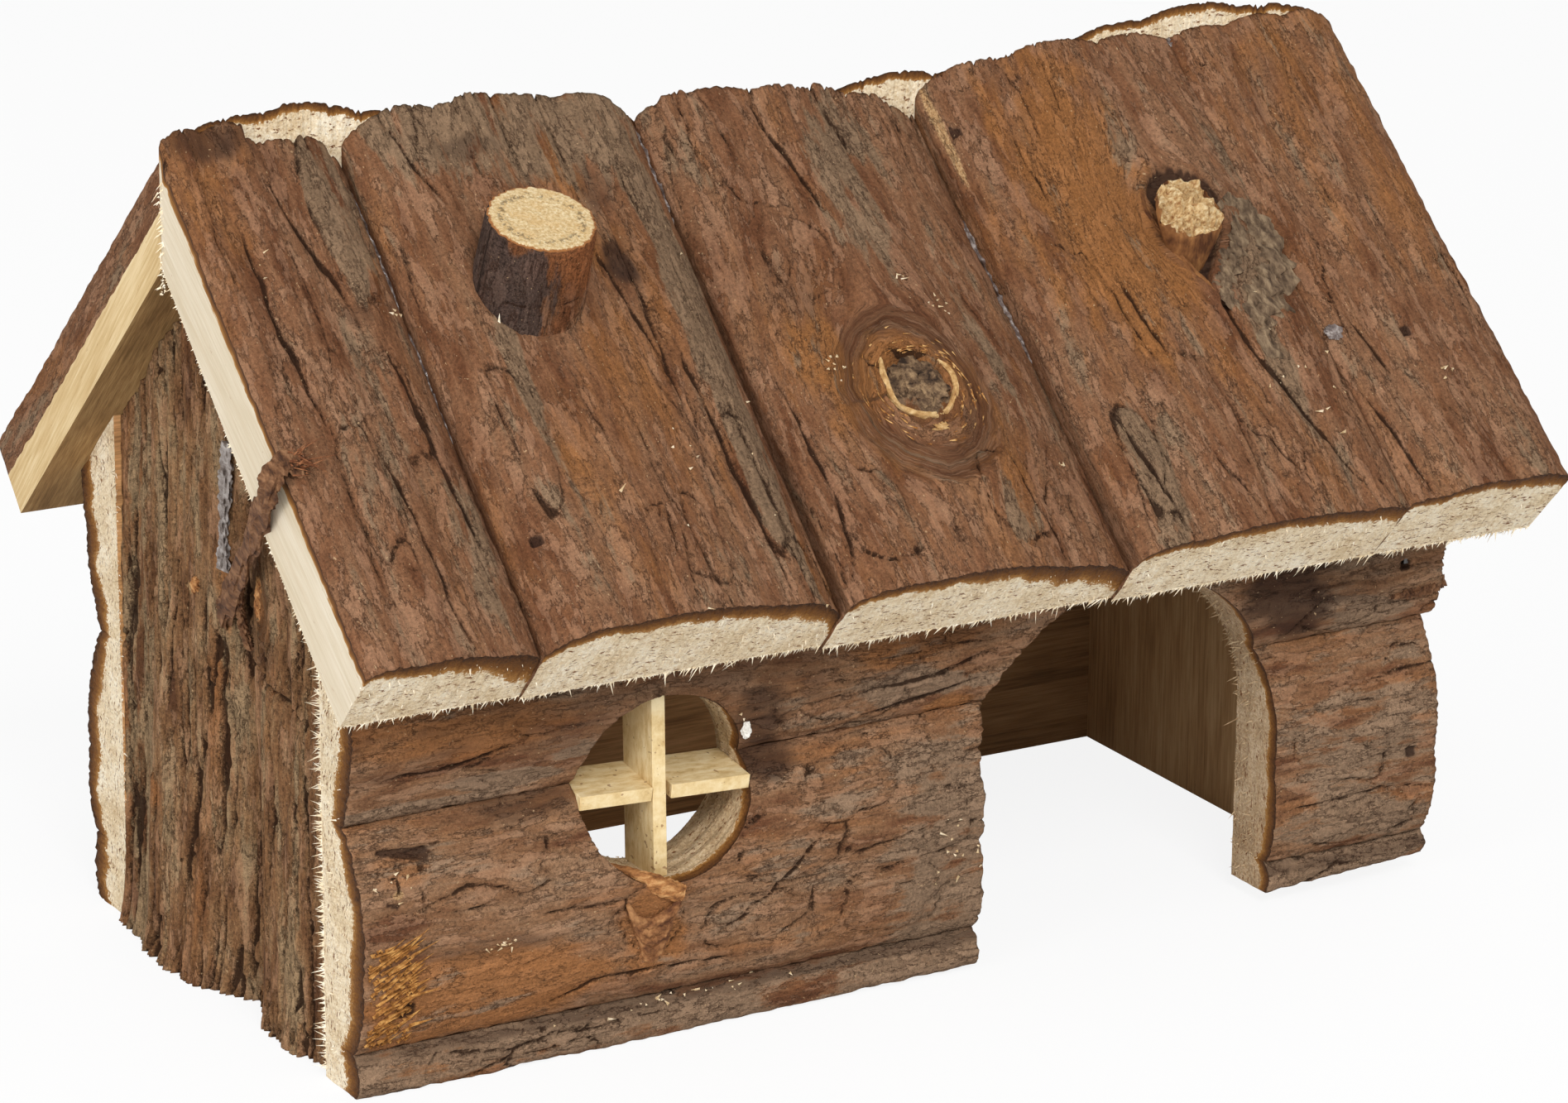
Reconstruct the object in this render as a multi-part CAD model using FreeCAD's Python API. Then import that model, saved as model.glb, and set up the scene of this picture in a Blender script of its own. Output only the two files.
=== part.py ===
import FreeCAD, Part
import math
import os
from collections import namedtuple

# A floorless hamster house of natural slab wood: the outer cuts of small logs, sawn flat on the
# inside and left in their bark outside.  The slabs are butted edge to edge into two roof panels, a
# front and a back wall and two gables, then glued and nailed.  A length of branch is the chimney.
# Millimetres.  X runs along the ridge, the front faces -Y, Z is up and the walls stand on Z = 0.

Vector = FreeCAD.Vector

# ---- driving dimensions ---------------------------------------------------------------------------
ROOF_LENGTH = 260.0
ROOF_PITCH = math.radians(42.5)
SOFFIT_RIDGE_Z = 144.2          # where the flat undersides of the two roof panels meet
SOFFIT_LENGTH = 98.6            # down the underside, from that line to the sawn eave

WALLS_LEFT_X = -121.8
WALLS_RIGHT_X = 119.2
FRONT_INNER_Y = -47.0           # the flat inner faces of the four walls
BACK_INNER_Y = 44.0
LEFT_GABLE_INNER_X = -106.0
RIGHT_GABLE_INNER_X = 104.1

DOOR_LEFT_X = 13.0              # a door with an arched head
DOOR_WIDTH = 67.0
DOOR_SPRING_Z = 41.0

WINDOW_X = -57.2                # a round window with a half-lapped cross of slats
WINDOW_Z = 49.9
WINDOW_RADIUS = 18.0
SLAT_THICKNESS = 2.8
SLAT_DEPTH = 9.5
SLAT_FRONT_Y = -59.6
SLAT_SLOT_PLAY = 1.2            # the slot in the cross slat is sawn wider than the upright

CHIMNEY_TOP = Vector(-71.2, -38.0, 155.3)
CHIMNEY_RADIUS = 10.5
CHIMNEY_FOOT_RADIUS = 11.2
CHIMNEY_TILT = math.radians(21.8)   # leans forward from the vertical
CHIMNEY_LENGTH = 27.0

KNOT_X = -1.8                   # a healed knot on the third slab of the front panel
KNOT_DOWN = 60.0
KNOT_TOP = 20.6                 # its swelling's highest point, out from the sawn face
KNOT_MOUND_ROUND = 42.0         # the swelling is a cap of a ball of this radius
KNOT_CAP_LATITUDE = 55.0
KNOT_LEAN = 4.2
KNOT_EYE_RADIUS = 7.5
KNOT_EYE_FLOOR_RADIUS = 6.0
KNOT_EYE_DEPTH = 1.8
STUB_FOOT = (69.5, 43.0, 9.0)   # the broken stub of a side branch on the fourth slab of the front
STUB_TOP = (70.2, 31.0, 23.6)   # panel, which leans up the slope: across, down the slope and out
STUB_FOOT_RADIUS = 3.6
STUB_TOP_RADIUS = 7.2

BRAD_WIDTH = 1.2                # flat wire brads with a small T head
BRAD_THICKNESS = 1.0
BRAD_HEAD_WIDTH = 2.0
BRAD_HEAD_HEIGHT = 0.8
BRAD_LENGTH = 26.0
WALL_BRAD_HEAD = 12.5           # heads lie below the bark, this far out from the sawn faces
ROOF_BRAD_HEAD = 14.5
NAIL_HOLE_DEPTH = 12.0          # a hole this deep above each head leaves every slab's bark

# A slab's outline at one place along it: from one seam to the next, how thick the slab is at each
# of them, and how far the round of the log stands above the line between the two.
Section = namedtuple("Section", "first last first_edge last_edge crown")
# A long furrow in the bark: the shares of the slab's width where it starts and ends, and its depth
Furrow = namedtuple("Furrow", "start end depth")
# A slab: its outline at its start and end, how full its round is (2 is a parabola, more is flatter
# on top) and the furrows between the lobes of its bark.
Slab = namedtuple("Slab", "start end fullness furrows")
LOBE_RISE = 0.3                 # how far each lobe's middle stands above the plain round

# Front roof panel, left to right: each slab from past the ridge to the eave, and how far its sawn
# end stands past the common eave line.
FRONT_ROOF = [
    (Slab(Section(-130.0, -93.2, 16.0, 12.0, 2.7), Section(-130.0, -94.4, 17.2, 13.6, 3.2), 2.4,
          (Furrow(0.22, 0.30, 0.8), Furrow(0.52, 0.76, 0.9))), 0.0),
    (Slab(Section(-93.2, -31.5, 14.4, 12.8, 4.9), Section(-94.4, -32.0, 15.8, 10.8, 8.3), 4.2,
          (Furrow(0.30, 0.24, 0.7), Furrow(0.72, 0.80, 1.0))), 0.5),
    (Slab(Section(-31.5, 31.0, 12.9, 7.2, 5.2), Section(-32.0, 31.5, 16.0, 9.0, 6.8), 2.5,
          (Furrow(0.40, 0.26, 0.9), Furrow(0.72, 0.78, 0.8))), 1.2),
    (Slab(Section(31.0, 90.0, 11.2, 14.0, 3.7), Section(31.5, 92.0, 15.5, 16.5, 4.6), 3.0,
          (Furrow(0.34, 0.22, 0.6), Furrow(0.70, 0.84, 0.9))), 1.8),
    (Slab(Section(90.0, 130.0, 13.7, 14.7, 2.4), Section(92.0, 130.0, 17.0, 18.8, 3.6), 2.8,
          (Furrow(0.36, 0.20, 0.8), Furrow(0.70, 0.60, 0.6))), 1.8),
]
BACK_ROOF = [
    (Slab(Section(-130.0, -69.0, 15.4, 12.0, 6.6), Section(-130.0, -66.0, 16.4, 12.0, 6.6), 2.6,
          (Furrow(0.31, 0.35, 0.8), Furrow(0.67, 0.70, 0.8))), 0.0),
    (Slab(Section(-69.0, -6.0, 9.0, 9.0, 3.4), Section(-66.0, -7.0, 15.0, 15.0, 3.0), 2.6,
          (Furrow(0.36, 0.28, 0.7), Furrow(0.70, 0.64, 0.9))), 0.8),
    (Slab(Section(-6.0, 61.0, 9.6, 11.0, 4.0), Section(-7.0, 58.0, 15.0, 14.0, 2.8), 2.6,
          (Furrow(0.28, 0.34, 0.9), Furrow(0.62, 0.72, 0.7))), 0.4),
    (Slab(Section(61.0, 130.0, 13.8, 14.9, 5.2), Section(58.0, 130.0, 14.0, 15.5, 5.7), 2.6,
          (Furrow(0.34, 0.26, 0.8), Furrow(0.68, 0.66, 0.8))), 2.3),
]
RIDGE_OVERRUN = 24.0            # the panels are built past the ridge, then mitred plumb

# Walls of level slabs, from the ground up, each from the left end to the right end.  The top slab
# of each wall is cut off along the underside of the roof.
WALL_HEAD_Z = 104.0
WALL_FULLNESS = 2.2
FRONT_WALL = {
    "bottom": Slab(Section(0.0, 8.5, 14.2, 12.6, 0.8), Section(0.0, 8.5, 12.2, 11.8, 0.8),
                   WALL_FULLNESS, ()),
    "middle": Slab(Section(8.5, 51.6, 12.6, 9.4, 6.2), Section(8.5, 54.8, 12.6, 9.4, 5.6),
                   WALL_FULLNESS, (Furrow(0.36, 0.44, 0.7),)),
    "top": Slab(Section(51.6, WALL_HEAD_Z, 9.2, 13.0, 3.4), Section(54.8, WALL_HEAD_Z, 9.8, 13.0, 3.4),
                WALL_FULLNESS, (Furrow(0.42, 0.36, 0.7),)),
}
BACK_WALL = {
    "bottom": Slab(*[Section(0.0, 14.0, 14.6, 15.0, 1.0)] * 2, WALL_FULLNESS, ()),
    "middle": Slab(*[Section(14.0, 57.7, 15.0, 9.8, 5.1)] * 2, WALL_FULLNESS, (Furrow(0.40, 0.52, 0.7),)),
    "top": Slab(*[Section(57.7, WALL_HEAD_Z, 9.8, 13.0, 5.0)] * 2, WALL_FULLNESS, (Furrow(0.44, 0.36, 0.7),)),
}
# Gables of upright slabs between the front and the back wall, front slab first, from the foot up
LEFT_GABLE = {
    "front": Slab(Section(FRONT_INNER_Y, -7.5, 10.4, 10.0, 6.2), Section(FRONT_INNER_Y, -7.5, 10.4, 10.0, 4.8),
                  WALL_FULLNESS, (Furrow(0.44, 0.40, 0.9), Furrow(0.82, 0.80, 1.0))),
    "rear": Slab(Section(-7.5, BACK_INNER_Y, 10.4, 11.6, 7.4), Section(-7.5, BACK_INNER_Y, 9.8, 10.0, 4.8),
                 WALL_FULLNESS, (Furrow(0.38, 0.44, 0.8), Furrow(0.78, 0.86, 0.9))),
}
RIGHT_GABLE = {
    "front": Slab(*[Section(FRONT_INNER_Y, 2.0, 10.6, 9.8, 4.8)] * 2, WALL_FULLNESS,
                  (Furrow(0.38, 0.42, 0.8), Furrow(0.74, 0.70, 0.7))),
    "rear": Slab(*[Section(2.0, BACK_INNER_Y, 9.8, 10.6, 4.6)] * 2, WALL_FULLNESS,
                 (Furrow(0.46, 0.52, 0.8),)),
}
SLAB_BLANK = 40.0               # square-edged blanks this thick are trimmed to the logs' rounds

# Where the brads go in
GABLE_BRAD_X = (-113.5, 111.5)                  # along the middle of each gable's edge
WALL_BRAD_Z = (27.5, 68.0)
ROOF_BRAD_ON_GABLE = (18.0, 60.0)               # down the slope, measured on the underside
ROOF_BRAD_ON_FRONT_WALL = ((-60.0, 77.0), (4.0, 77.0), (84.9, 77.0))
ROOF_BRAD_ON_BACK_WALL = ((-38.0, 72.0), (30.0, 72.0))


# ---- slabs ----------------------------------------------------------------------------------------
def blank_end(section, from_share, to_share, place):
    """The square outline of a blank at one end, between two shares of the slab's width."""
    first = section.first + (section.last - section.first) * from_share
    last = section.first + (section.last - section.first) * to_share
    corners = [place(first, 0.0), place(last, 0.0), place(last, SLAB_BLANK), place(first, SLAB_BLANK)]
    return Part.makePolygon(corners + corners[:1])


def bark(slab, section, u, rise):
    """Across and out of the bark, a share u of the way across: the plain round and a rise."""
    edge = section.first_edge + (section.last_edge - section.first_edge) * u
    crown = section.crown * (1 - abs(2 * u - 1) ** slab.fullness)
    return section.first + (section.last - section.first) * u, edge + crown + rise


def lobe_chord(slab, section, start, end):
    """A lobe's width and its sagitta, from furrow to furrow."""
    x0, out0 = bark(slab, section, *start)
    x1, out1 = bark(slab, section, *end)
    _, top = bark(slab, section, (start[0] + end[0]) / 2, LOBE_RISE)
    return math.hypot(x1 - x0, out1 - out0), top - (out0 + out1) / 2


def lobe_centre(slab, section, start, end, radius):
    """The centre of the round of that radius that passes through two furrows."""
    x0, out0 = bark(slab, section, *start)
    x1, out1 = bark(slab, section, *end)
    chord = math.hypot(x1 - x0, out1 - out0)
    depth = math.sqrt(radius**2 - (chord / 2) ** 2)
    return (x0 + x1) / 2 + (out1 - out0) / chord * depth, (out0 + out1) / 2 - (x1 - x0) / chord * depth


def lobe(slab, ends, furrows, number):
    """One lobe of a slab, from the middle of the lobe before it to the middle of the one after it:
    a flat blank, trimmed to a round that passes through the furrows at its own two sides."""
    outlines, chords = [], []
    for (section, place), places in zip(ends, furrows):
        middles = [(a[0] + b[0]) / 2 for a, b in zip(places, places[1:])]
        from_share = middles[number - 1] if number > 0 else 0.0
        to_share = middles[number + 1] if number + 1 < len(middles) else 1.0
        outlines.append(blank_end(section, from_share, to_share, place))
        chords.append(lobe_chord(slab, section, places[number], places[number + 1]))
    radius = sum(chord**2 / (8 * rise) + rise / 2 for chord, rise in chords) / len(chords)
    foot, head = (place(*lobe_centre(slab, section, places[number], places[number + 1], radius))
                  for (section, place), places in zip(ends, furrows))
    along = head - foot
    log = Part.makeCylinder(radius, 2 * along.Length, foot - along / 2, along)
    return Part.makeLoft(outlines, True, True).common(log)


def sawn_slab(slab, start_place, end_place):
    """A slab sawn from a log, made lobe by lobe.  The places turn across and out into the house's
    frame at either end of the slab."""
    ends = [(slab.start, start_place), (slab.end, end_place)]
    furrows = [[(0.0, 0.0), *[(furrow[end], -furrow.depth) for furrow in slab.furrows], (1.0, 0.0)]
               for end in range(len(ends))]
    lobes = [lobe(slab, ends, furrows, number) for number in range(len(slab.furrows) + 1)]
    return lobes[0].multiFuse(lobes[1:]).removeSplitter() if len(lobes) > 1 else lobes[0]


# ---- roof -----------------------------------------------------------------------------------------
def on_slope(side, x, down, out):
    """A point of a roof panel: down the underside from the ridge, and out through the slab.
    side is -1 on the front panel and +1 on the back one."""
    y = down * math.cos(ROOF_PITCH) + out * math.sin(ROOF_PITCH)
    z = SOFFIT_RIDGE_Z - down * math.sin(ROOF_PITCH) + out * math.cos(ROOF_PITCH)
    return Vector(x, side * y, z)


def half_space(side):
    """Everything on one side of the ridge plane."""
    reach = ROOF_LENGTH
    corner = Vector(-reach, 0.0 if side > 0 else -reach, -reach)
    return Part.makeBox(2 * reach, reach, 3 * reach, corner)


def roof_slab(side, slab, reach):
    """One roof slab, mitred plumb at the ridge and sawn square at the eave."""
    eave = SOFFIT_LENGTH + reach
    board = sawn_slab(slab, lambda x, out: on_slope(side, x, -RIDGE_OVERRUN, out),
                      lambda x, out: on_slope(side, x, eave, out))
    return board.common(half_space(side))


def square_out():
    """The direction square out of the front panel."""
    return on_slope(-1, 0, 0, 1) - on_slope(-1, 0, 0, 0)


def knot_mound():
    """The bark's low round swelling over a healed knot, a ball's cap that leans with the slab."""
    centre = on_slope(-1, KNOT_X - KNOT_LEAN, KNOT_DOWN, KNOT_TOP - KNOT_MOUND_ROUND)
    return Part.makeSphere(KNOT_MOUND_ROUND, centre, square_out(), KNOT_CAP_LATITUDE, 90, 360)


def knot_eye():
    """What is sunk into the top of the swelling."""
    floor = on_slope(-1, KNOT_X, KNOT_DOWN, KNOT_TOP - KNOT_EYE_DEPTH)
    return Part.makeCone(KNOT_EYE_FLOOR_RADIUS, KNOT_EYE_RADIUS, 2 * KNOT_EYE_DEPTH, floor, square_out())


def branch_stub():
    """A snapped side branch that widens as it leans up the slope out of its slab."""
    foot = on_slope(-1, *STUB_FOOT)
    axis = on_slope(-1, *STUB_TOP) - foot
    return Part.makeCone(STUB_FOOT_RADIUS, STUB_TOP_RADIUS, axis.Length, foot, axis)


def under_roof():
    """The space below the two soffits, which trims the tops of walls and gables."""
    half = SOFFIT_LENGTH
    outline = [on_slope(-1, -ROOF_LENGTH, half, 0.0), on_slope(-1, -ROOF_LENGTH, 0.0, 0.0),
               on_slope(1, -ROOF_LENGTH, half, 0.0)]
    foot = [Vector(-ROOF_LENGTH, outline[2].y, 0.0), Vector(-ROOF_LENGTH, outline[0].y, 0.0)]
    face = Part.Face(Part.makePolygon(outline + foot + outline[:1]))
    return face.extrude(Vector(2 * ROOF_LENGTH, 0, 0))


# ---- walls ----------------------------------------------------------------------------------------
def wall_slab(side, inner_y, slab):
    """A level slab, its bark outwards."""
    return sawn_slab(slab, lambda z, out: Vector(WALLS_LEFT_X, inner_y + side * out, z),
                     lambda z, out: Vector(WALLS_RIGHT_X, inner_y + side * out, z))


def gable_slab(side, inner_x, slab):
    """An upright slab, its bark outwards."""
    return sawn_slab(slab, lambda y, out: Vector(inner_x + side * out, y, 0.0),
                     lambda y, out: Vector(inner_x + side * out, y, SOFFIT_RIDGE_Z))


def door_cut():
    """The door: straight sides up to the springing, a half round above."""
    radius = DOOR_WIDTH / 2
    depth = 2 * abs(FRONT_INNER_Y)
    start_y = 2 * FRONT_INNER_Y
    opening = Part.makeBox(DOOR_WIDTH, depth, DOOR_SPRING_Z, Vector(DOOR_LEFT_X, start_y, 0.0))
    centre = Vector(DOOR_LEFT_X + radius, start_y, DOOR_SPRING_Z)
    return opening.fuse(Part.makeCylinder(radius, depth, centre, Vector(0, 1, 0)))


def window_hole():
    centre = Vector(WINDOW_X, 2 * FRONT_INNER_Y, WINDOW_Z)
    return Part.makeCylinder(WINDOW_RADIUS, 2 * abs(FRONT_INNER_Y), centre, Vector(0, 1, 0))


# ---- window cross ---------------------------------------------------------------------------------
def window_slats():
    """Two slats with half-lap slots, their ends shaped to the round hole.  The upright runs through
    in front and is slotted from behind, the cross slat is slotted from the front."""
    half = SLAT_THICKNESS / 2
    reach = 2 * WINDOW_RADIUS
    lap_y = SLAT_FRONT_Y + SLAT_DEPTH / 2
    back_y = SLAT_FRONT_Y + SLAT_DEPTH
    upright = Part.makeBox(SLAT_THICKNESS, SLAT_DEPTH, 2 * reach,
                           Vector(WINDOW_X - half, SLAT_FRONT_Y, WINDOW_Z - reach))
    cross = Part.makeBox(2 * reach, SLAT_DEPTH, SLAT_THICKNESS,
                         Vector(WINDOW_X - reach, SLAT_FRONT_Y, WINDOW_Z - half))
    slot_in_upright = Part.makeBox(SLAT_THICKNESS, back_y - lap_y, SLAT_THICKNESS,
                                   Vector(WINDOW_X - half, lap_y, WINDOW_Z - half))
    slot_in_cross = Part.makeBox(SLAT_THICKNESS + SLAT_SLOT_PLAY, lap_y - SLAT_FRONT_Y, SLAT_THICKNESS,
                                 Vector(WINDOW_X - half, SLAT_FRONT_Y, WINDOW_Z - half))
    hole = window_hole()
    return upright.common(hole).cut(slot_in_upright), cross.common(hole).cut(slot_in_cross)


# ---- chimney --------------------------------------------------------------------------------------
def chimney_branch():
    """A length of branch, sawn square at both ends and glued into a blind hole in the roof."""
    axis = Vector(0, -math.sin(CHIMNEY_TILT), math.cos(CHIMNEY_TILT))
    foot = CHIMNEY_TOP - axis * CHIMNEY_LENGTH
    return Part.makeCone(CHIMNEY_FOOT_RADIUS, CHIMNEY_RADIUS, CHIMNEY_LENGTH, foot, axis)


# ---- brads ----------------------------------------------------------------------------------------
def upright_bar(width, bottom, top):
    """A flat bar round the Z axis."""
    corner = Vector(-width / 2, -BRAD_THICKNESS / 2, bottom)
    return Part.makeBox(width, BRAD_THICKNESS, top - bottom, corner)


def driven(shape, head, inward):
    """A shape round the Z axis with its head at the origin, turned to where a brad is driven in."""
    turned = shape.copy()
    turned.Placement = FreeCAD.Placement(head, FreeCAD.Rotation(Vector(0, 0, -1), inward))
    return turned


def brad():
    """A flat wire brad with a T head, point down."""
    shank = upright_bar(BRAD_WIDTH, -BRAD_LENGTH, -BRAD_HEAD_HEIGHT)
    return shank.fuse(upright_bar(BRAD_HEAD_WIDTH, -BRAD_HEAD_HEIGHT, 0.0))


def nail_hole():
    """The hole that a brad leaves: as deep as the brad, and open to the bark above its head."""
    return brad().fuse(upright_bar(BRAD_HEAD_WIDTH, 0.0, NAIL_HOLE_DEPTH))


def wall_brads(side, inner_y):
    """Brads through a wall's ends into the edges of both gables."""
    head_y = inner_y + side * WALL_BRAD_HEAD
    inward = Vector(0, -side, 0)
    return [(Vector(x, head_y, z), inward) for x in GABLE_BRAD_X for z in WALL_BRAD_Z]


def roof_brads(side, on_wall):
    """Brads square through a roof panel into the gables and into the top of a wall."""
    inward = Vector(0, -side * math.sin(ROOF_PITCH), -math.cos(ROOF_PITCH))
    places = [(x, down) for x in GABLE_BRAD_X for down in ROOF_BRAD_ON_GABLE]
    places += on_wall
    return [(on_slope(side, x, down, ROOF_BRAD_HEAD), inward) for x, down in places]


# ---- the assembly ---------------------------------------------------------------------------------
def split_at_door(piece):
    """The two halves that the door leaves of a wall slab, left one first."""
    return sorted(piece.Solids, key=lambda solid: solid.CenterOfMass.x)


def build():
    nodes = {}
    for name, side, panel in (("front", -1, FRONT_ROOF), ("back", 1, BACK_ROOF)):
        for number, sizes in enumerate(panel, start=1):
            nodes[f"roof_{name}_slab_{number}"] = roof_slab(side, *sizes)
    knotty = "roof_front_slab_3"
    nodes[knotty] = nodes[knotty].fuse(knot_mound()).cut(knot_eye())
    branched = "roof_front_slab_4"
    nodes[branched] = nodes[branched].fuse(branch_stub())

    room = under_roof()
    for name, sizes in BACK_WALL.items():
        nodes[f"back_wall_{name}_slab"] = wall_slab(1, BACK_INNER_Y, sizes).common(room)
    for name, sizes in LEFT_GABLE.items():
        nodes[f"left_gable_{name}_slab"] = gable_slab(-1, LEFT_GABLE_INNER_X, sizes).common(room)
    for name, sizes in RIGHT_GABLE.items():
        nodes[f"right_gable_{name}_slab"] = gable_slab(1, RIGHT_GABLE_INNER_X, sizes).common(room)

    openings = door_cut().fuse(window_hole())
    front = {
        name: wall_slab(-1, FRONT_INNER_Y, sizes).common(room).cut(openings)
        for name, sizes in FRONT_WALL.items()
    }
    nodes["front_wall_top_slab"] = front["top"]
    for name in ("middle", "bottom"):
        left, right = split_at_door(front[name])
        nodes[f"front_wall_{name}_left_slab"] = left
        nodes[f"front_wall_{name}_right_slab"] = right

    nodes["window_upright_slat"], nodes["window_cross_slat"] = window_slats()
    nodes["chimney_branch"] = chimney_branch()
    socket_slab = "roof_front_slab_2"
    nodes[socket_slab] = nodes[socket_slab].cut(nodes["chimney_branch"])

    fasteners = {
        "front_wall_brads": wall_brads(-1, FRONT_INNER_Y),
        "back_wall_brads": wall_brads(1, BACK_INNER_Y),
        "front_roof_brads": roof_brads(-1, list(ROOF_BRAD_ON_FRONT_WALL)),
        "back_roof_brads": roof_brads(1, list(ROOF_BRAD_ON_BACK_WALL)),
    }
    slabs = [name for name in nodes if name.endswith("slab") or "_slab_" in name]
    for group, places in fasteners.items():
        for head, inward in places:
            hole = driven(nail_hole(), head, inward)
            for name in slabs:
                if nodes[name].BoundBox.intersect(hole.BoundBox):
                    nodes[name] = nodes[name].cut(hole)
        nodes[group] = Part.makeCompound([driven(brad(), head, inward) for head, inward in places])
    return nodes


os.makedirs("parts", exist_ok=True)
for node, shape in build().items():
    solids = shape.Solids
    kept = solids[0] if len(solids) == 1 else Part.makeCompound(solids)
    if not kept.isValid():
        raise ValueError(f"{node} is not a valid solid")
    kept.exportStep(f"parts/{node}.step")
    print(node, len(solids), "solid(s)", round(kept.Volume / 1000, 2), "cm3")
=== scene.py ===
import math
from collections import namedtuple

import bmesh
import bpy
import numpy as np
from mathutils import Matrix, Vector


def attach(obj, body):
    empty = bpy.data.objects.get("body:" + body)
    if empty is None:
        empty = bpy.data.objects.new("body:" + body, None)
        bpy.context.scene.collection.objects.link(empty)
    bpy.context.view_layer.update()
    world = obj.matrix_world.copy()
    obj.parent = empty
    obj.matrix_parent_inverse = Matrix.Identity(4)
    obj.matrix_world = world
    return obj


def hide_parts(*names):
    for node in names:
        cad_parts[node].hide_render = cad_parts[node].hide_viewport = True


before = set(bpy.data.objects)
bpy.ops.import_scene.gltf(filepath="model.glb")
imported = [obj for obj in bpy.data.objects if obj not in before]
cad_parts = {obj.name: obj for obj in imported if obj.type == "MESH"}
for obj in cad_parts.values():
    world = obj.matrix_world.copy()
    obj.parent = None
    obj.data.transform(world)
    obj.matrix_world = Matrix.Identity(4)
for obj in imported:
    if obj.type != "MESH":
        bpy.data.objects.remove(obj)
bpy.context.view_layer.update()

MM = 0.001


# ---- Left gable -----------------------------------------------------------------------------------
# Two upright slabs, the outer cuts of small logs: sawn flat inside, left in their bark outside.
# They stand between the front and the back wall, glued and nailed, cut off under the roof.
REPEAT = 61                                     # units after which the random waves and scales repeat


def waves(u, v, seed):
    """Smooth random waves about one unit long, from -1 to 1."""
    turn = np.random.default_rng(seed).random((REPEAT, REPEAT)) * 2 * np.pi
    slope_u, slope_v = np.cos(turn), np.sin(turn)
    cell_u, cell_v = np.floor(u).astype(int), np.floor(v).astype(int)
    u, v = u - cell_u, v - cell_v

    def corner(i, j):
        at = (cell_u + i) % REPEAT, (cell_v + j) % REPEAT
        return slope_u[at] * (u - i) + slope_v[at] * (v - j)

    ease_u, ease_v = (w**3 * (w * (6 * w - 15) + 10) for w in (u, v))
    near = corner(0, 0) + (corner(1, 0) - corner(0, 0)) * ease_u
    far = corner(0, 1) + (corner(1, 1) - corner(0, 1)) * ease_u
    return 1.5 * (near + (far - near) * ease_v)


def rough(u, v, seed, octaves=3):
    return sum(waves(u * 2**k, v * 2**k, seed + k) / 2**k for k in range(octaves))


def ease(x, low, high):
    w = np.clip((x - low) / (high - low), 0.0, 1.0)
    return w * w * (3 - 2 * w)


# A bark: how thick its scales are, how wide and long they are, how deep and how wide it cracks, how
# it swells, and the places on it.
#   knots: across, along, radius, height of the swelling, height of the rim, depth of the eye
#   cracks: half width, points
#   patches: tone, across, along, reach across, reach along, strength
#   pits: across, along, radius, depth
#   plates, which are large flakes: across, along, reach across, reach along, height, greyness
#   splits, which are many long fissures: spacing, length, half width, how many are open
#   hollows: points, radius at the first, radius at the last, depth
#   flush: how far the bark is built up at the first and at the last edge, level with its neighbour
Coat = namedtuple(
    "Coat",
    "seed scale size crack_depth crack_width swell knots cracks patches pits plates splits hollows flush",
    defaults=((), (), (), (), (), (), (), (0.0, 0.0)))
# DARK darkens the bark: dark marks, and painted shade where it is laid in pits, hollows and under the eave.
GREY, RUST, DARK, PALE = range(4)


def line_distance(p, q, points):
    """Distance to a crack's line, and how far along it the nearest place is, from 0 to 1."""
    best, share = np.full(p.shape, 1e3), np.zeros(p.shape)
    pieces = len(points) - 1
    for i, ((p0, q0), (p1, q1)) in enumerate(zip(points, points[1:])):
        dp, dq = p1 - p0, q1 - q0
        w = np.clip(((p - p0) * dp + (q - q0) * dq) / (dp * dp + dq * dq), 0, 1)
        away = np.hypot(p - p0 - w * dp, q - q0 - w * dq)
        share = np.where(away < best, (i + w) / pieces, share)
        best = np.minimum(best, away)
    return best, share


def scales(p, q, width, length, seed):
    """Long bark scales: two random values of each point's own scale, one of its neighbour, and how
    far it is to the edge between them."""
    table = np.random.default_rng(seed).random((REPEAT, REPEAT, 4))
    u, v = p / width, q / length
    cell_u, cell_v = np.floor(u).astype(int), np.floor(v).astype(int)
    own = np.full((5, len(p)), 9.0)
    other = own.copy()
    for i in (-1, 0, 1):
        for j in (-1, 0, 1):
            spot = table[(cell_u + i) % REPEAT, (cell_v + j) % REPEAT].T
            at_u, at_v = cell_u + i + 0.1 + 0.8 * spot[0], cell_v + j + 0.1 + 0.8 * spot[1]
            here = np.stack([np.hypot(u - at_u, v - at_v), at_u, at_v, spot[2], spot[3]])
            nearer = here[0] < own[0]
            other = np.where(nearer, own, np.where(here[0] < other[0], here, other))
            own = np.where(nearer, here, own)
    du, dv = own[1] - other[1], own[2] - other[2]
    inside = (u - (own[1] + other[1]) / 2) * du + (v - (own[2] + other[2]) / 2) * dv
    return own[3], own[4], other[3], inside / np.hypot(du / width, dv / length)


def fissure(p, q, width, length, seed):
    """Distance to the nearest of some long wandering lines."""
    wave = waves(p / width, q / length, seed)
    steepness = (waves((p + 0.4) / width, q / length, seed)
                 - waves((p - 0.4) / width, q / length, seed)) / 0.8
    return np.abs(wave) / np.maximum(np.abs(steepness), 0.35 / width)


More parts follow.
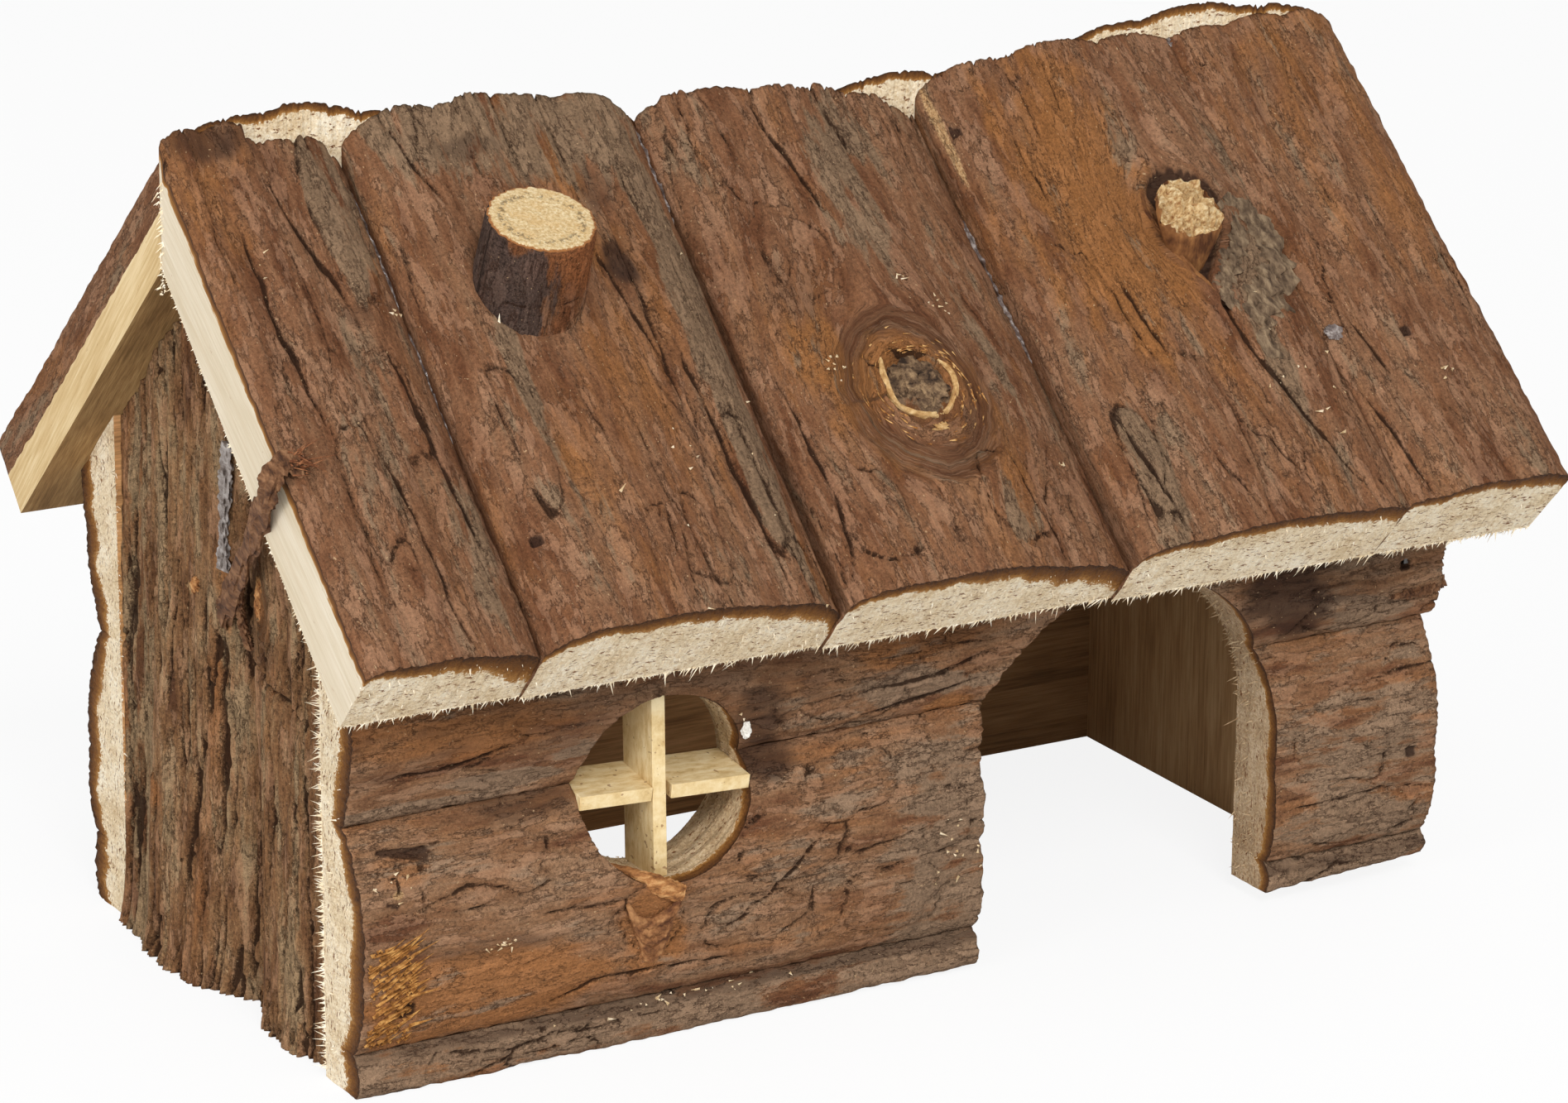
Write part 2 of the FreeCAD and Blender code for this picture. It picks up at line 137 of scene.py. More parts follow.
def bark(p, q, coat):
    """Relief, crack distance, scale tone, grain lines and tones of a bark at p across, q along."""
    seed = coat.seed
    gp, gq = p.copy(), q.copy()
    swelling, whole = np.zeros(len(p)), np.ones(len(p))
    for x, y, r, mound, rim, eye in coat.knots:             # the grain parts round a knot
        dp, dq = p - x, (q - y) * 0.8
        away = np.hypot(dp, dq) + 0.5 * rough(p / 5, q / 5, seed + 1, 2)
        pull = (1.5 * r) ** 2 / np.maximum(away, 1.5 * r) ** 2
        whole = whole * (1 - np.exp(-((away / (1.8 * r)) ** 2)))
        round_it = ease(-away, -2.1 * r, -1.2 * r) * (eye > 0)
        gp += round_it * (away * 1.4 + x - gp) - (1 - round_it) * dp * pull
        gq += round_it * (np.arctan2(dq, dp) * r * 1.5 - gq) + (1 - round_it) * (q - y) * pull
        swelling += mound * np.exp(-((away / (1.9 * r)) ** 2))
        swelling += rim * np.exp(-(((away - r) / (0.16 * r)) ** 2))
        swelling += 0.22 * round_it * np.sin(away * 4.4 + 3 * waves(p / 4, q / 4, seed + 2))
        sunk = ease(-away, -0.95 * r, -0.8 * r)
        swelling -= sunk * (eye + 0.45 * eye * rough(p / 2.2, q / 2.2, seed + 4, 3))
    gp += 1.5 * rough(p / 15, q / 55, seed, 2)
    jagged = 0.55 * rough(p / 3.4, q / 9, seed + 3, 4)
    fine_p, fine_q = gp + jagged, gq + 1.6 * rough(p / 2.6, q / 5, seed + 5, 3)

    wide, long = coat.size
    big, big_tone, big_other, big_edge = scales(fine_p, fine_q, wide, long, seed + 10)
    small, small_tone, small_other, small_edge = scales(fine_p, fine_q, wide * 0.45, long * 0.42, seed + 11)
    busy = np.clip(0.55 + 0.9 * rough(gp / 24, gq / 60, seed + 7, 2), 0.12, 1.2)
    lift = coat.scale * busy * (2.2 * (big - 0.5) * ease(big_edge, -0.1, 0.25)
                                + 1.1 * (small - 0.5) * ease(small_edge, -0.1, 0.25))
    lift += coat.swell * rough(gp / 20, gq / 50, seed + 30, 2) + swelling
    lift += 0.06 * waves(gp / 0.95, gq / 10, seed + 34) + 0.06 * rough(p / 1.7, q / 2.4, seed + 35, 2)

    opening = 0.9 * rough(gp / 9, gq / 34, seed + 8, 3) + 0.5 * busy - 0.45
    split = np.abs(big - big_other) * 0.8 + opening
    crack = big_edge - coat.crack_width * np.clip(split, -1, 0.9)
    split = np.abs(small - small_other) * 0.5 + opening - 0.25
    crack = np.minimum(crack, small_edge - 0.6 * coat.crack_width * np.clip(split, -2, 0.8))
    opening = 1.3 * rough(gp / 11, gq / 45, seed + 9, 2) - 0.35
    gap = fissure(fine_p, gq, 13, 120, seed + 14)
    crack = np.minimum(crack, gap - coat.crack_width * np.clip(opening, -3, 1))
    for spacing, length, half_width, share in coat.splits:
        opening = 1.3 * rough(gp / spacing / 1.4, gq / length * 2, seed + 17, 3) + share
        gap = fissure(fine_p, fine_q, spacing, length, seed + 15)
        crack = np.minimum(crack, gap - half_width * np.clip(opening, -3, 1))
    crack = np.where(crack < 1, 1 - (1 - crack) * whole, crack)
    for half_width, points in coat.cracks:
        away, share = line_distance(p + 0.9 * jagged, q, points)
        width = half_width * np.sqrt(np.sin(np.pi * np.clip(share, 0.02, 0.98)))
        crack = np.minimum(crack, away - width * (1 + 0.6 * waves(p / 2, q / 5, seed + 16)))

    tone = np.zeros((len(p), 4))
    for kind, x, y, reach_p, reach_q, strength in coat.patches:
        away = np.hypot((p - x) / reach_p, (q - y) / reach_q)
        ragged = away + 0.34 * rough(p / 5, q / 12, seed + 40 + kind, 4)
        tone[:, kind] = np.maximum(tone[:, kind], strength * ease(-ragged, -1.35, -0.45))
    for x, y, reach_p, reach_q, height, greyness in coat.plates:
        away = (np.abs((p - x) / reach_p) ** 3 + np.abs((q - y) / reach_q) ** 3) ** (1 / 3)
        border = (away - 1 + 0.20 * rough(p / 6, q / 14, seed + 61, 4)) * min(reach_p, reach_q)
        on_it = ease(-border, -0.2, 0.3)
        lift += height * on_it
        crack = np.minimum(crack, np.abs(border) - 0.15 * (1 + 1.8 * waves(p / 3, q / 6, seed + 62)))
        tone[:, GREY] = np.maximum(tone[:, GREY], greyness * on_it)
    for x, y, r, depth in coat.pits:
        inside = ease(-np.maximum(np.abs(p - x), np.abs(q - y)), -r - 0.35, -r + 0.35)
        lift -= depth * inside
        # Painted shade: the pit is painted dark inside.
        tone[:, DARK] = np.maximum(tone[:, DARK], 2.0 * inside)
    for points, first_radius, last_radius, depth in coat.hollows:
        away, share = line_distance(p, q, points)
        rim = away - first_radius - (last_radius - first_radius) * share
        rim += 0.3 * waves(p / 2.5, q / 4, seed + 63)
        lift -= depth * ease(-rim, -0.5, 0.7)
        # Painted shade: the hollow is painted dark inside.
        tone[:, DARK] = np.maximum(tone[:, DARK], 1.3 * ease(-rim, -0.3, 0.5))
    crack = np.clip(crack, -1.5, 3.0)
    lift -= coat.crack_depth * ease(-crack, -0.30, 0.35)
    return lift, crack, 0.6 * big_tone + 0.4 * small_tone, np.stack([gp, gq], 1), tone


# A slab: where it lies (place turns across, along and the height above the sawn face into x, y, z, and
# unplace turns them back), how the shares s across it and t along it are laid out, the share of its
# length at a place along it, its edges (first, last, thickness at each), how high and how full its
# round stands above them, its furrows, its bark, how thick the rind is at its edges, the mesh size,
# and which sides are barked.
Slab = namedtuple("Slab",
                  "name place unplace across along share edges crown full furrows coat rind step barked",
                  defaults=((0.0, 0.0),))
# A long furrow: the shares of the slab's width where it starts and ends, and its depth
Furrow = namedtuple("Furrow", "start end depth")
LOBE_RISE = 0.3                                 # of the bark between two furrows, above the plain round
RIND_RINGS = (0.04, 0.09, 0.16, 0.28, 0.45, 0.7, 1.0)


def round_height(slab, p, q):
    """Height above the sawn face of the log's round, lobe by lobe, without the bark's relief."""
    first, last, first_edge, last_edge = slab.edges(q)
    u = np.clip((p - first) / (last - first), 0, 1)

    def plain(u):
        fullness = 1 - np.abs(2 * u - 1) ** slab.full
        return first_edge + (last_edge - first_edge) * u + slab.crown(q) * fullness

    share = slab.share(q)
    furrows = [(f.start + (f.end - f.start) * share, -f.depth) for f in slab.furrows]
    height = 0 * u
    for (u0, rise0), (u1, rise1) in zip([(0, 0), *furrows], [*furrows, (1, 0)]):
        v = (u - u0) / (u1 - u0)
        round_lobe = ((plain(u0 + 0 * u) + rise0) * (1 - v) * (1 - 2 * v)
                      + (plain(u1 + 0 * u) + rise1) * v * (2 * v - 1)
                      + (plain((u0 + u1) / 2 + 0 * u) + LOBE_RISE) * 4 * v * (1 - v))
        height = np.where((v >= 0) & (v <= 1), round_lobe, height)
    return height


def slab_height(slab, p, q):
    """Height above the sawn face of the bark, worn at the slab's edges, and the bark's other values."""
    lift, crack, scale_tone, grain, tone = bark(p, q, slab.coat)
    first, last = slab.edges(q)[:2]
    inset = np.minimum(p - first, last - p)
    flush = sum(built * np.exp(-np.maximum(away, 0) / 5)
                for built, away in zip(slab.coat.flush, (p - first, last - p)))
    worn = 0.9 * np.exp(-np.maximum(inset, 0) / 0.9) * (1 + 0.7 * waves(p / 2, q / 3, slab.coat.seed + 50))
    worn *= np.clip(1 - flush, 0.2, 1)
    return np.maximum(round_height(slab, p, q) + lift + flush - worn, 1.5), crack, scale_tone, grain, tone


def meshed(bm, name):
    """The mesh of a bmesh that is done with."""
    mesh = bpy.data.meshes.new(name)
    bm.to_mesh(mesh)
    bm.free()
    return mesh


def next_ring(bm, rim):
    """Extrudes a closed rim: the points and the edges of the new one."""
    made = bmesh.ops.extrude_edge_only(bm, edges=rim)["geom"]
    ring = [g for g in made if isinstance(g, bmesh.types.BMVert)]
    new = set(ring)
    return ring, [g for g in made if isinstance(g, bmesh.types.BMEdge) and new.issuperset(g.verts)]


def unit_slab(name, columns, rows):
    """A closed block on the unit square, its bark face on top and its sides in rings under it."""
    bm = bmesh.new()
    bmesh.ops.create_grid(bm, x_segments=columns, y_segments=rows, size=0.5)
    rim = [e for e in bm.edges if e.is_boundary]
    above = 0.0
    for depth in RIND_RINGS:
        ring, rim = next_ring(bm, rim)
        bmesh.ops.translate(bm, verts=ring, vec=(0, 0, above - depth))
        above = depth
    bmesh.ops.edgeloop_fill(bm, edges=rim)
    bmesh.ops.recalc_face_normals(bm, faces=bm.faces)
    return meshed(bm, name)


def points_of(mesh):
    co = np.empty(len(mesh.vertices) * 3)
    mesh.vertices.foreach_get("co", co)
    return co.reshape(-1, 3)


def middles_of_faces(mesh):
    middles = np.empty(len(mesh.polygons) * 3)
    mesh.polygons.foreach_get("center", middles)
    return middles.reshape(-1, 3)


def move_points(mesh, points):
    """Puts a mesh's points at places in millimetres."""
    mesh.vertices.foreach_set("co", (points * MM).ravel())
    mesh.update()


def choose_materials(mesh, index):
    mesh.polygons.foreach_set("material_index", index.astype(np.int32))


def write_fields(mesh, **fields):
    """Keeps three values at each point of a mesh, for its material to read."""
    for name, values in fields.items():
        layer = mesh.attributes.new(name, "FLOAT_VECTOR", "POINT")
        layer.data.foreach_set("vector", values.astype(np.float32).ravel())


BARK, END, FLAT, INNER, WINDOW, DOOR = range(6)


def saw(slab):
    """The slab's own mesh: the unit slab laid out between its edges and under its bark."""
    middle = np.zeros(1)
    first, last = (float(v[0]) for v in slab.edges(middle)[:2])
    long = float(slab.along(np.ones(1), middle, middle)[0] - slab.along(np.zeros(1), middle, middle)[0])
    mesh = unit_slab(slab.name, round((last - first) / slab.step), round(long / slab.step / 1.8))
    s, t, f = (points_of(mesh) * (1, 1, -1) + (0.5, 0.5, 0)).T

    centre = middles_of_faces(mesh)
    index = np.where(np.abs(centre[:, 1]) > 0.4999, END, FLAT)
    index[centre[:, 2] > -1e-6] = BARK
    index[centre[:, 2] < -0.9999] = INNER
    for side, barked in zip((-1, 1), slab.barked):          # the share of the side that is in its bark
        index[(centre[:, 0] * side > 0.4999) & (centre[:, 2] > -0.99 * barked)] = BARK

    p, q, out = (np.full(s.shape, v) for v in ((first + last) / 2, 0.0, 12.0))
    for _ in range(4):
        q = slab.along(t, p, out)
        p = slab.across(s, q, out)
        out = round_height(slab, p, q) * (1 - f)
    out = slab_height(slab, p, q)[0] * (1 - f)
    q = slab.along(t, p, out)
    p = slab.across(s, q, out)
    at_end = (t > 0.9999) | (t < 0.0001)
    inward = np.where(t > 0.5, -1, 1)
    chipped = 0.35 * np.clip(rough(p / 1.3, out / 1.5 + q, slab.coat.seed + 60, 2), -0.4, 1.2)
    q = np.where(at_end & (f < 0.99), q + inward * chipped, q)
    choose_materials(mesh, index)
    move_points(mesh, np.stack(slab.place(p, q, out), 1))
    return mesh


def dress(mesh, slab, materials):
    """Gives every point of a slab its grain, cracks, scales, tones and depth under the bark."""
    p, q, out = slab.unplace(*(points_of(mesh) / MM).T)
    height, crack, scale_tone, grain, tone = slab_height(slab, p, q)
    first, last = slab.edges(q)[:2]
    u = np.clip((p - first) / (last - first), 0, 1)
    down = np.flatnonzero((np.minimum(u, 1 - u) < 0.02) & (height - out > 0.05))
    beyond = p[down] + np.where(u[down] > 0.5, 1, -1) * (height - out)[down]    # round the corner
    _, crack[down], scale_tone[down], grain[down], tone[down] = bark(beyond, q[down], slab.coat)
    rind = slab.rind[0] + (slab.rind[1] - slab.rind[0]) * u
    rind = rind * (1 + 0.3 * rough(p / 6, q / 9, slab.coat.seed + 70, 2))
    radius = (last - first) ** 2 / 8 / slab.crown(q)        # of the log, whose heart is the rings'
    core = np.stack([p - (first + last) / 2, q + 31.0 * slab.coat.seed, out + radius - 16], 1)
    write_fields(mesh, grain=np.column_stack([grain + 17.0 * slab.coat.seed, out]),
                 field=np.stack([crack, scale_tone, (height - out) / rind - tone[:, PALE]], 1),
                 tone=tone[:, :PALE], core=core)
    index = np.empty(len(mesh.polygons), np.int32)
    mesh.polygons.foreach_get("material_index", index)
    mesh.polygons.foreach_set("use_smooth", index == BARK)
    mesh.materials.clear()
    for material in materials:
        mesh.materials.append(material)
    choose_materials(mesh, index)
    mesh.update()


def stand(name, data):
    """A new object in the scene."""
    made = bpy.data.objects.new(name, data)
    bpy.context.scene.collection.objects.link(made)
    return made


def piece(name, mesh, slot_name, *replaced):
    """A piece of the house that rides its one body, in place of some plainer ones."""
    made = stand(name, mesh)
    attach(made, "root")
    if replaced:
        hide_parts(*replaced)


def lay(slab, slot_name, *materials):
    """Saws a slab, gives it its looks and puts it in its place."""
    mesh = saw(slab)
    dress(mesh, slab, materials)
    piece(slab.name, mesh, slot_name, slab.name)


class Finish:
    """A material's nodes, joined up as they are asked for."""

    def __init__(self, name, roughness, specular):
        self.material = bpy.data.materials.new(name)
        self.material.use_nodes = True
        self.tree = self.material.node_tree
        self.tree.nodes.clear()
        self.shader = self.add("ShaderNodeBsdfPrincipled")
        self.end = self.add("ShaderNodeOutputMaterial")
        self.tree.links.new(self.shader.outputs[0], self.end.inputs[0])
        self.shader.inputs["Roughness"].default_value = roughness
        self.shader.inputs["Specular IOR Level"].default_value = specular

    def add(self, kind, *values, **settings):
        made = self.tree.nodes.new(kind)
        for key, value in settings.items():
            setattr(made, key, value)
        for socket, value in zip(made.inputs, values):
            self.feed(socket, value)
        return made

    def feed(self, socket, value):
        if isinstance(value, bpy.types.NodeSocket):
            self.tree.links.new(value, socket)
        elif value is not None:
            socket.default_value = value

    def layer(self, name):
        return self.add("ShaderNodeAttribute", attribute_name=name).outputs["Vector"]

    def parts(self, vector):
        return self.add("ShaderNodeSeparateXYZ", vector).outputs

    def math(self, operation, *values):
        return self.add("ShaderNodeMath", *values, operation=operation).outputs[0]

    def noise(self, vector, stretch, detail=3.0, roughness=0.6):
        mapping = self.add("ShaderNodeMapping", vector)
        mapping.inputs["Scale"].default_value = stretch
        made = self.add("ShaderNodeTexNoise", mapping.outputs[0])
        made.inputs["Scale"].default_value = 1.0
        made.inputs["Detail"].default_value = detail
        made.inputs["Roughness"].default_value = roughness
        return made.outputs[0]

    def band(self, value, low, high):
        """0 below low, 1 above high, eased between."""
        made = self.add("ShaderNodeMapRange", value, low, high, interpolation_type="SMOOTHSTEP")
        return made.outputs[0]

    def ramp(self, value, *stops):
        made = self.add("ShaderNodeValToRGB", value)
        elements = made.color_ramp.elements
        while len(elements) < len(stops):
            elements.new(0.5)
        for element, (position, colour) in zip(elements, stops):
            element.position = position
            element.color = colour
        return made.outputs[0]

    def mix(self, share, a, b, blend="MIX"):
        made = self.add("ShaderNodeMix", data_type="RGBA", blend_type=blend)
        for socket, value in zip((made.inputs[0], made.inputs[6], made.inputs[7]), (share, a, b)):
            self.feed(socket, value)
        return made.outputs[2]

    def bump(self, height, distance, strength=1.0):
        made = self.add("ShaderNodeBump")
        made.inputs["Strength"].default_value = strength
        made.inputs["Distance"].default_value = distance
        self.feed(made.inputs["Height"], height)
        self.feed(self.shader.inputs["Normal"], made.outputs[0])

    def colour(self, value):
        self.feed(self.shader.inputs["Base Color"], value)


def paint(red, green, blue):
    """A colour as it is seen, 0 to 255, in the renderer's own scale."""
    linear = [((v / 255 + 0.055) / 1.055) ** 2.4 if v > 10 else v / 255 / 12.92
              for v in (red, green, blue)]
    return (*linear, 1.0)


def shades(colours, *places):
    """A ramp's stops: some colours from dark to light, each at its place."""
    return [(place, paint(*colour)) for place, colour in zip(places, colours)]


def bark_finish(name, browns, warm, grey, grey_share, contrast=1.0):
    """Bark: brown that drifts warmer and greyer along the grain, mottled all over, with flakes of an
    older skin on it whose ragged edges carry a painted shadow, and open cracks painted dark as
    painted shade.  Its dark marks are painted too; in pits, hollows and under an eave they are
    painted shade."""
    look = Finish(name, 0.9, 0.1)
    grain = look.layer("grain")
    crack, scale_tone, depth = look.parts(look.layer("field"))
    grey_here, warm_here, dark_here = look.parts(look.layer("tone"))
    pale = look.math("MULTIPLY", look.band(depth, 0.02, -0.02), look.math("MULTIPLY", depth, -1.0))
    drift = look.noise(grain, (0.075, 0.016, 0.075), 4.0, 0.6)
    region = look.noise(grain, (0.20, 0.042, 0.20), 8.0, 0.62)
    flake = look.noise(grain, (0.36, 0.10, 0.36), 9.0, 0.68)
    streak = look.noise(grain, (1.3, 0.15, 1.3), 4.0, 0.6)
    grit = look.noise(grain, (1.9, 1.5, 1.9), 3.0, 0.85)
    fleck = look.noise(grain, (1.7, 1.0, 1.7), 2.0, 0.6)
    hair = look.noise(grain, (0.17, 0.36, 0.17), 5.0, 0.65)

    tone = look.math("MULTIPLY_ADD", region, 0.75, look.math("MULTIPLY", scale_tone, 0.10))
    tone = look.math("MULTIPLY_ADD", flake, 0.15, tone)
    colour = look.ramp(tone, *shades(browns, 0.38, 0.47, 0.56))
    upper = look.band(flake, 0.515, 0.53)
    colour = look.mix(look.math("MULTIPLY", upper, 0.30), colour, paint(150, 116, 92))
    glow = look.math("MULTIPLY_ADD", warm_here, 0.30, look.math("MULTIPLY_ADD", streak, 0.15, drift))
    colour = look.mix(look.math("MULTIPLY", look.band(glow, 0.58, 0.88), 0.85), colour, warm)
    worn = look.math("MULTIPLY_ADD", grey_here, 0.24, look.math("MULTIPLY_ADD", scale_tone, 0.10, region))
    worn = look.math("MULTIPLY_ADD", upper, 0.03, worn)
    worn = look.band(worn, 0.66 - grey_share, 0.76 - grey_share)
    colour = look.mix(look.math("MULTIPLY", worn, 0.85), colour, grey)
    light = look.math("MULTIPLY_ADD", grit, 1.9 * contrast, 1.0 - 1.85 * contrast)
    light = look.math("MULTIPLY_ADD", streak, 0.8 * contrast, light)
    light = look.math("MULTIPLY_ADD", flake, 1.0 * contrast, light)
    colour = look.mix(1.0, colour, light, "MULTIPLY")

    bare = look.band(look.math("MULTIPLY_ADD", grit, 0.8, pale), 0.62, 0.95)
    bare_wood = look.ramp(grit, *shades(((146, 106, 68), (182, 144, 100), (210, 178, 134)), 0.3, 0.5, 0.7))
    colour = look.mix(look.math("MULTIPLY", bare, 0.85), colour, bare_wood)
    # Darkens the dark marks; in pits, hollows and under the eave these are painted shade.
    dark_marks_and_painted_shade = look.math("MULTIPLY_ADD", grit, 0.5, look.math("MULTIPLY_ADD", flake, 0.9, dark_here))
    dark_marks_and_painted_shade = look.band(dark_marks_and_painted_shade, 0.86, 1.6)
    colour = look.mix(look.math("MULTIPLY", dark_marks_and_painted_shade, 0.85), colour, paint(52, 36, 29))
    # A painted shadow along the ragged lower edge of each flake.
    flake_painted_shadow = look.math("MULTIPLY", look.band(flake, 0.475, 0.512), look.band(flake, 0.525, 0.514))
    flake_painted_shadow = look.math("MULTIPLY", flake_painted_shadow, look.band(region, 0.46, 0.56))
    colour = look.mix(look.math("MULTIPLY", flake_painted_shadow, 0.6), colour, paint(60, 36, 24))
    # Hairline cracks and open cracks are painted dark: painted shade in the cracks.
    line = look.math("ABSOLUTE", look.math("ADD", hair, -0.5))
    line = look.math("MULTIPLY", look.band(line, 0.010, 0.003), look.band(region, 0.48, 0.56))
    colour = look.mix(look.math("MULTIPLY", line, 0.7), colour, paint(52, 32, 22))
    edge = look.math("MULTIPLY_ADD", grit, 0.5, look.math("MULTIPLY_ADD", flake, 0.4, crack))
    colour = look.mix(look.math("MULTIPLY", look.band(edge, 0.56, 0.24), 0.9), colour, paint(44, 27, 17))
    colour = look.mix(look.math("MULTIPLY", look.band(fleck, 0.70, 0.735), 0.6), colour,
                      paint(200, 168, 128))
    colour = look.mix(look.math("MULTIPLY", look.band(fleck, 0.31, 0.28), 0.6), colour, paint(56, 35, 23))
    look.colour(colour)
    relief = look.math("MULTIPLY_ADD", grit, 0.40, look.math("MULTIPLY_ADD", streak, 0.2, flake))
    look.bump(look.math("MULTIPLY_ADD", upper, 0.5, relief), 0.0009, 0.9)
    return look.material


def wood_finish(name, tones, sawn_across, rind_share=1.0, painted_light_left=0.0):
    """Pale softwood, with a bark rind at its outer edge.  Sawn across, it is furry and shows short
    brown pores; along the grain it shows long faint streaks.  rind_share thins the rind, and
    painted_light_left is how much lighter the left end of a board is painted: painted light."""
    look = Finish(name, 0.8, 0.2)
    core = look.layer("core")
    across, along, out = look.parts(core)
    rind = look.math("DIVIDE", look.parts(look.layer("field"))[2], rind_share)
    flat = look.add("ShaderNodeCombineXYZ", across, 0.0, out).outputs[0]
    radius = look.add("ShaderNodeVectorMath", flat, operation="LENGTH").outputs["Value"]
    drift = look.noise(core, (0.12, 0.01, 0.12), 2.0)
    ring = look.math("FRACT", look.math("MULTIPLY_ADD", drift, 3.0, look.math("MULTIPLY", radius, 0.36)))
    ring_line = look.math("MULTIPLY", look.band(ring, 0.6, 1.0), 0.14 if sawn_across else 0.07)
    fine = look.noise(core, (1.7, 1.7, 1.7) if sawn_across else (1.6, 0.06, 1.6), 4.0, 0.7)
    broad = look.noise(core, (0.12, 0.03, 0.12), 2.0)
    tone = look.math("MULTIPLY_ADD", broad, 0.4, look.math("MULTIPLY", fine, 0.6))
    wood = look.ramp(tone, *shades(tones, 0.36, 0.5, 0.62))
    wood = look.mix(ring_line, wood, paint(190, 146, 92))
    if sawn_across:
        pores = look.noise(core, (0.55, 0.55, 1.9), 3.0, 0.7)
        wood = look.mix(look.band(pores, 0.585, 0.63), wood, paint(122, 78, 44))
        tufts = look.noise(core, (1.2, 1.2, 0.5), 3.0, 0.7)
        wood = look.mix(look.math("MULTIPLY", look.band(tufts, 0.45, 0.36), 0.38), wood,
                        paint(178, 142, 100))
    else:
        specks = look.noise(core, (1.5, 0.4, 1.5), 3.0, 0.5)
        wood = look.mix(look.math("MULTIPLY", look.band(specks, 0.70, 0.76), 0.5), wood,
                        paint(150, 104, 62))
    # Painted light: the left end of a board is painted lighter.
    if painted_light_left:
        x = look.parts(look.add("ShaderNodeTexCoord").outputs["Object"])[0]
        painted_light_share = look.math("MULTIPLY_ADD", look.band(x, 0.07, 0.02), painted_light_left, 1.0)
        wood = look.mix(1.0, wood, painted_light_share, "MULTIPLY")
    ragged = look.math("MULTIPLY_ADD", fine, 0.9, look.math("ADD", rind, -0.45))
    rinds = ((58, 36, 20), (86, 53, 26), (124, 80, 36), (172, 124, 66))
    skin = look.ramp(look.math("MULTIPLY", ragged, 0.6), *shades(rinds, 0.0, 0.12, 0.38, 0.58))
    wood = look.mix(look.band(ragged, 1.06, 0.94), wood, skin)
    look.colour(wood)
    look.bump(fine, 0.0007 if sawn_across else 0.0002, 0.8)
    return look.material


gable_bark = bark_finish(
    "gable_bark",
    ((88, 58, 38), (128, 92, 62), (152, 118, 84)),
    paint(146, 98, 60), paint(146, 122, 92), 0.06, 1.25)
end_grain = wood_finish("sawn_end_grain", ((210, 184, 144), (240, 221, 188), (252, 241, 218)), True)
# The third is a darker copy of the planed wood for the inner faces: painted shade.
sawn_wood = (end_grain,
             wood_finish("planed_wood", ((206, 190, 162), (216, 202, 177), (224, 212, 190)), False),
             wood_finish("planed_wood_inside", ((150, 112, 72), (188, 148, 102), (208, 172, 126)), False))

SOFFIT_RIDGE_Z = 144.2
ROOF_PITCH = math.radians(42.5)
SOFFIT_FALL = math.tan(ROOF_PITCH)
FRONT_INNER_Y, BACK_INNER_Y = -47.0, 44.0       # where the front and the back wall's inner faces stand
LEFT_INNER_X = -106.0                           # and this gable's
WALL_FULLNESS = 2.2                             # 2 is a plain round, more is flatter on top
GABLE_RIND = (2.5, 2.5)
GABLE_STEP = 0.42
LONG_SPLITS = ((4.2, 70, 0.85, 0.6), (2.4, 34, 0.35, 0.15))


def gable_slab(name, side, inner_x, at_foot, at_head, furrows, coat, flare=0.0):
    """An upright slab; across is Y, along is Z.  Each end is its edges, its thickness at them and
    its crown; flare is how far the bark curls out at the very foot."""
    reach = 7                                   # of the flare, up from the foot

    def share(q):
        return q / SOFFIT_RIDGE_Z

    def at(q):
        return [a + (b - a) * share(q) for a, b in zip(at_foot, at_head)]

    def edges(q):
        curl = flare * np.exp(-q / reach)
        first, last, first_edge, last_edge, _ = at(q)
        return first, last, first_edge + curl, last_edge + curl

    return Slab(
        name,
        lambda p, q, out: (inner_x + side * out, p, q),
        lambda x, y, z: (y, z, side * (x - inner_x)),
        lambda s, q, out: at_foot[0] + (at_foot[1] - at_foot[0]) * s + 0 * q,
        lambda t, p, out: t * (SOFFIT_RIDGE_Z - SOFFIT_FALL * np.abs(p)) + 0 * out,
        share, edges, lambda q: at(q)[4], WALL_FULLNESS, furrows, coat, GABLE_RIND, GABLE_STEP)


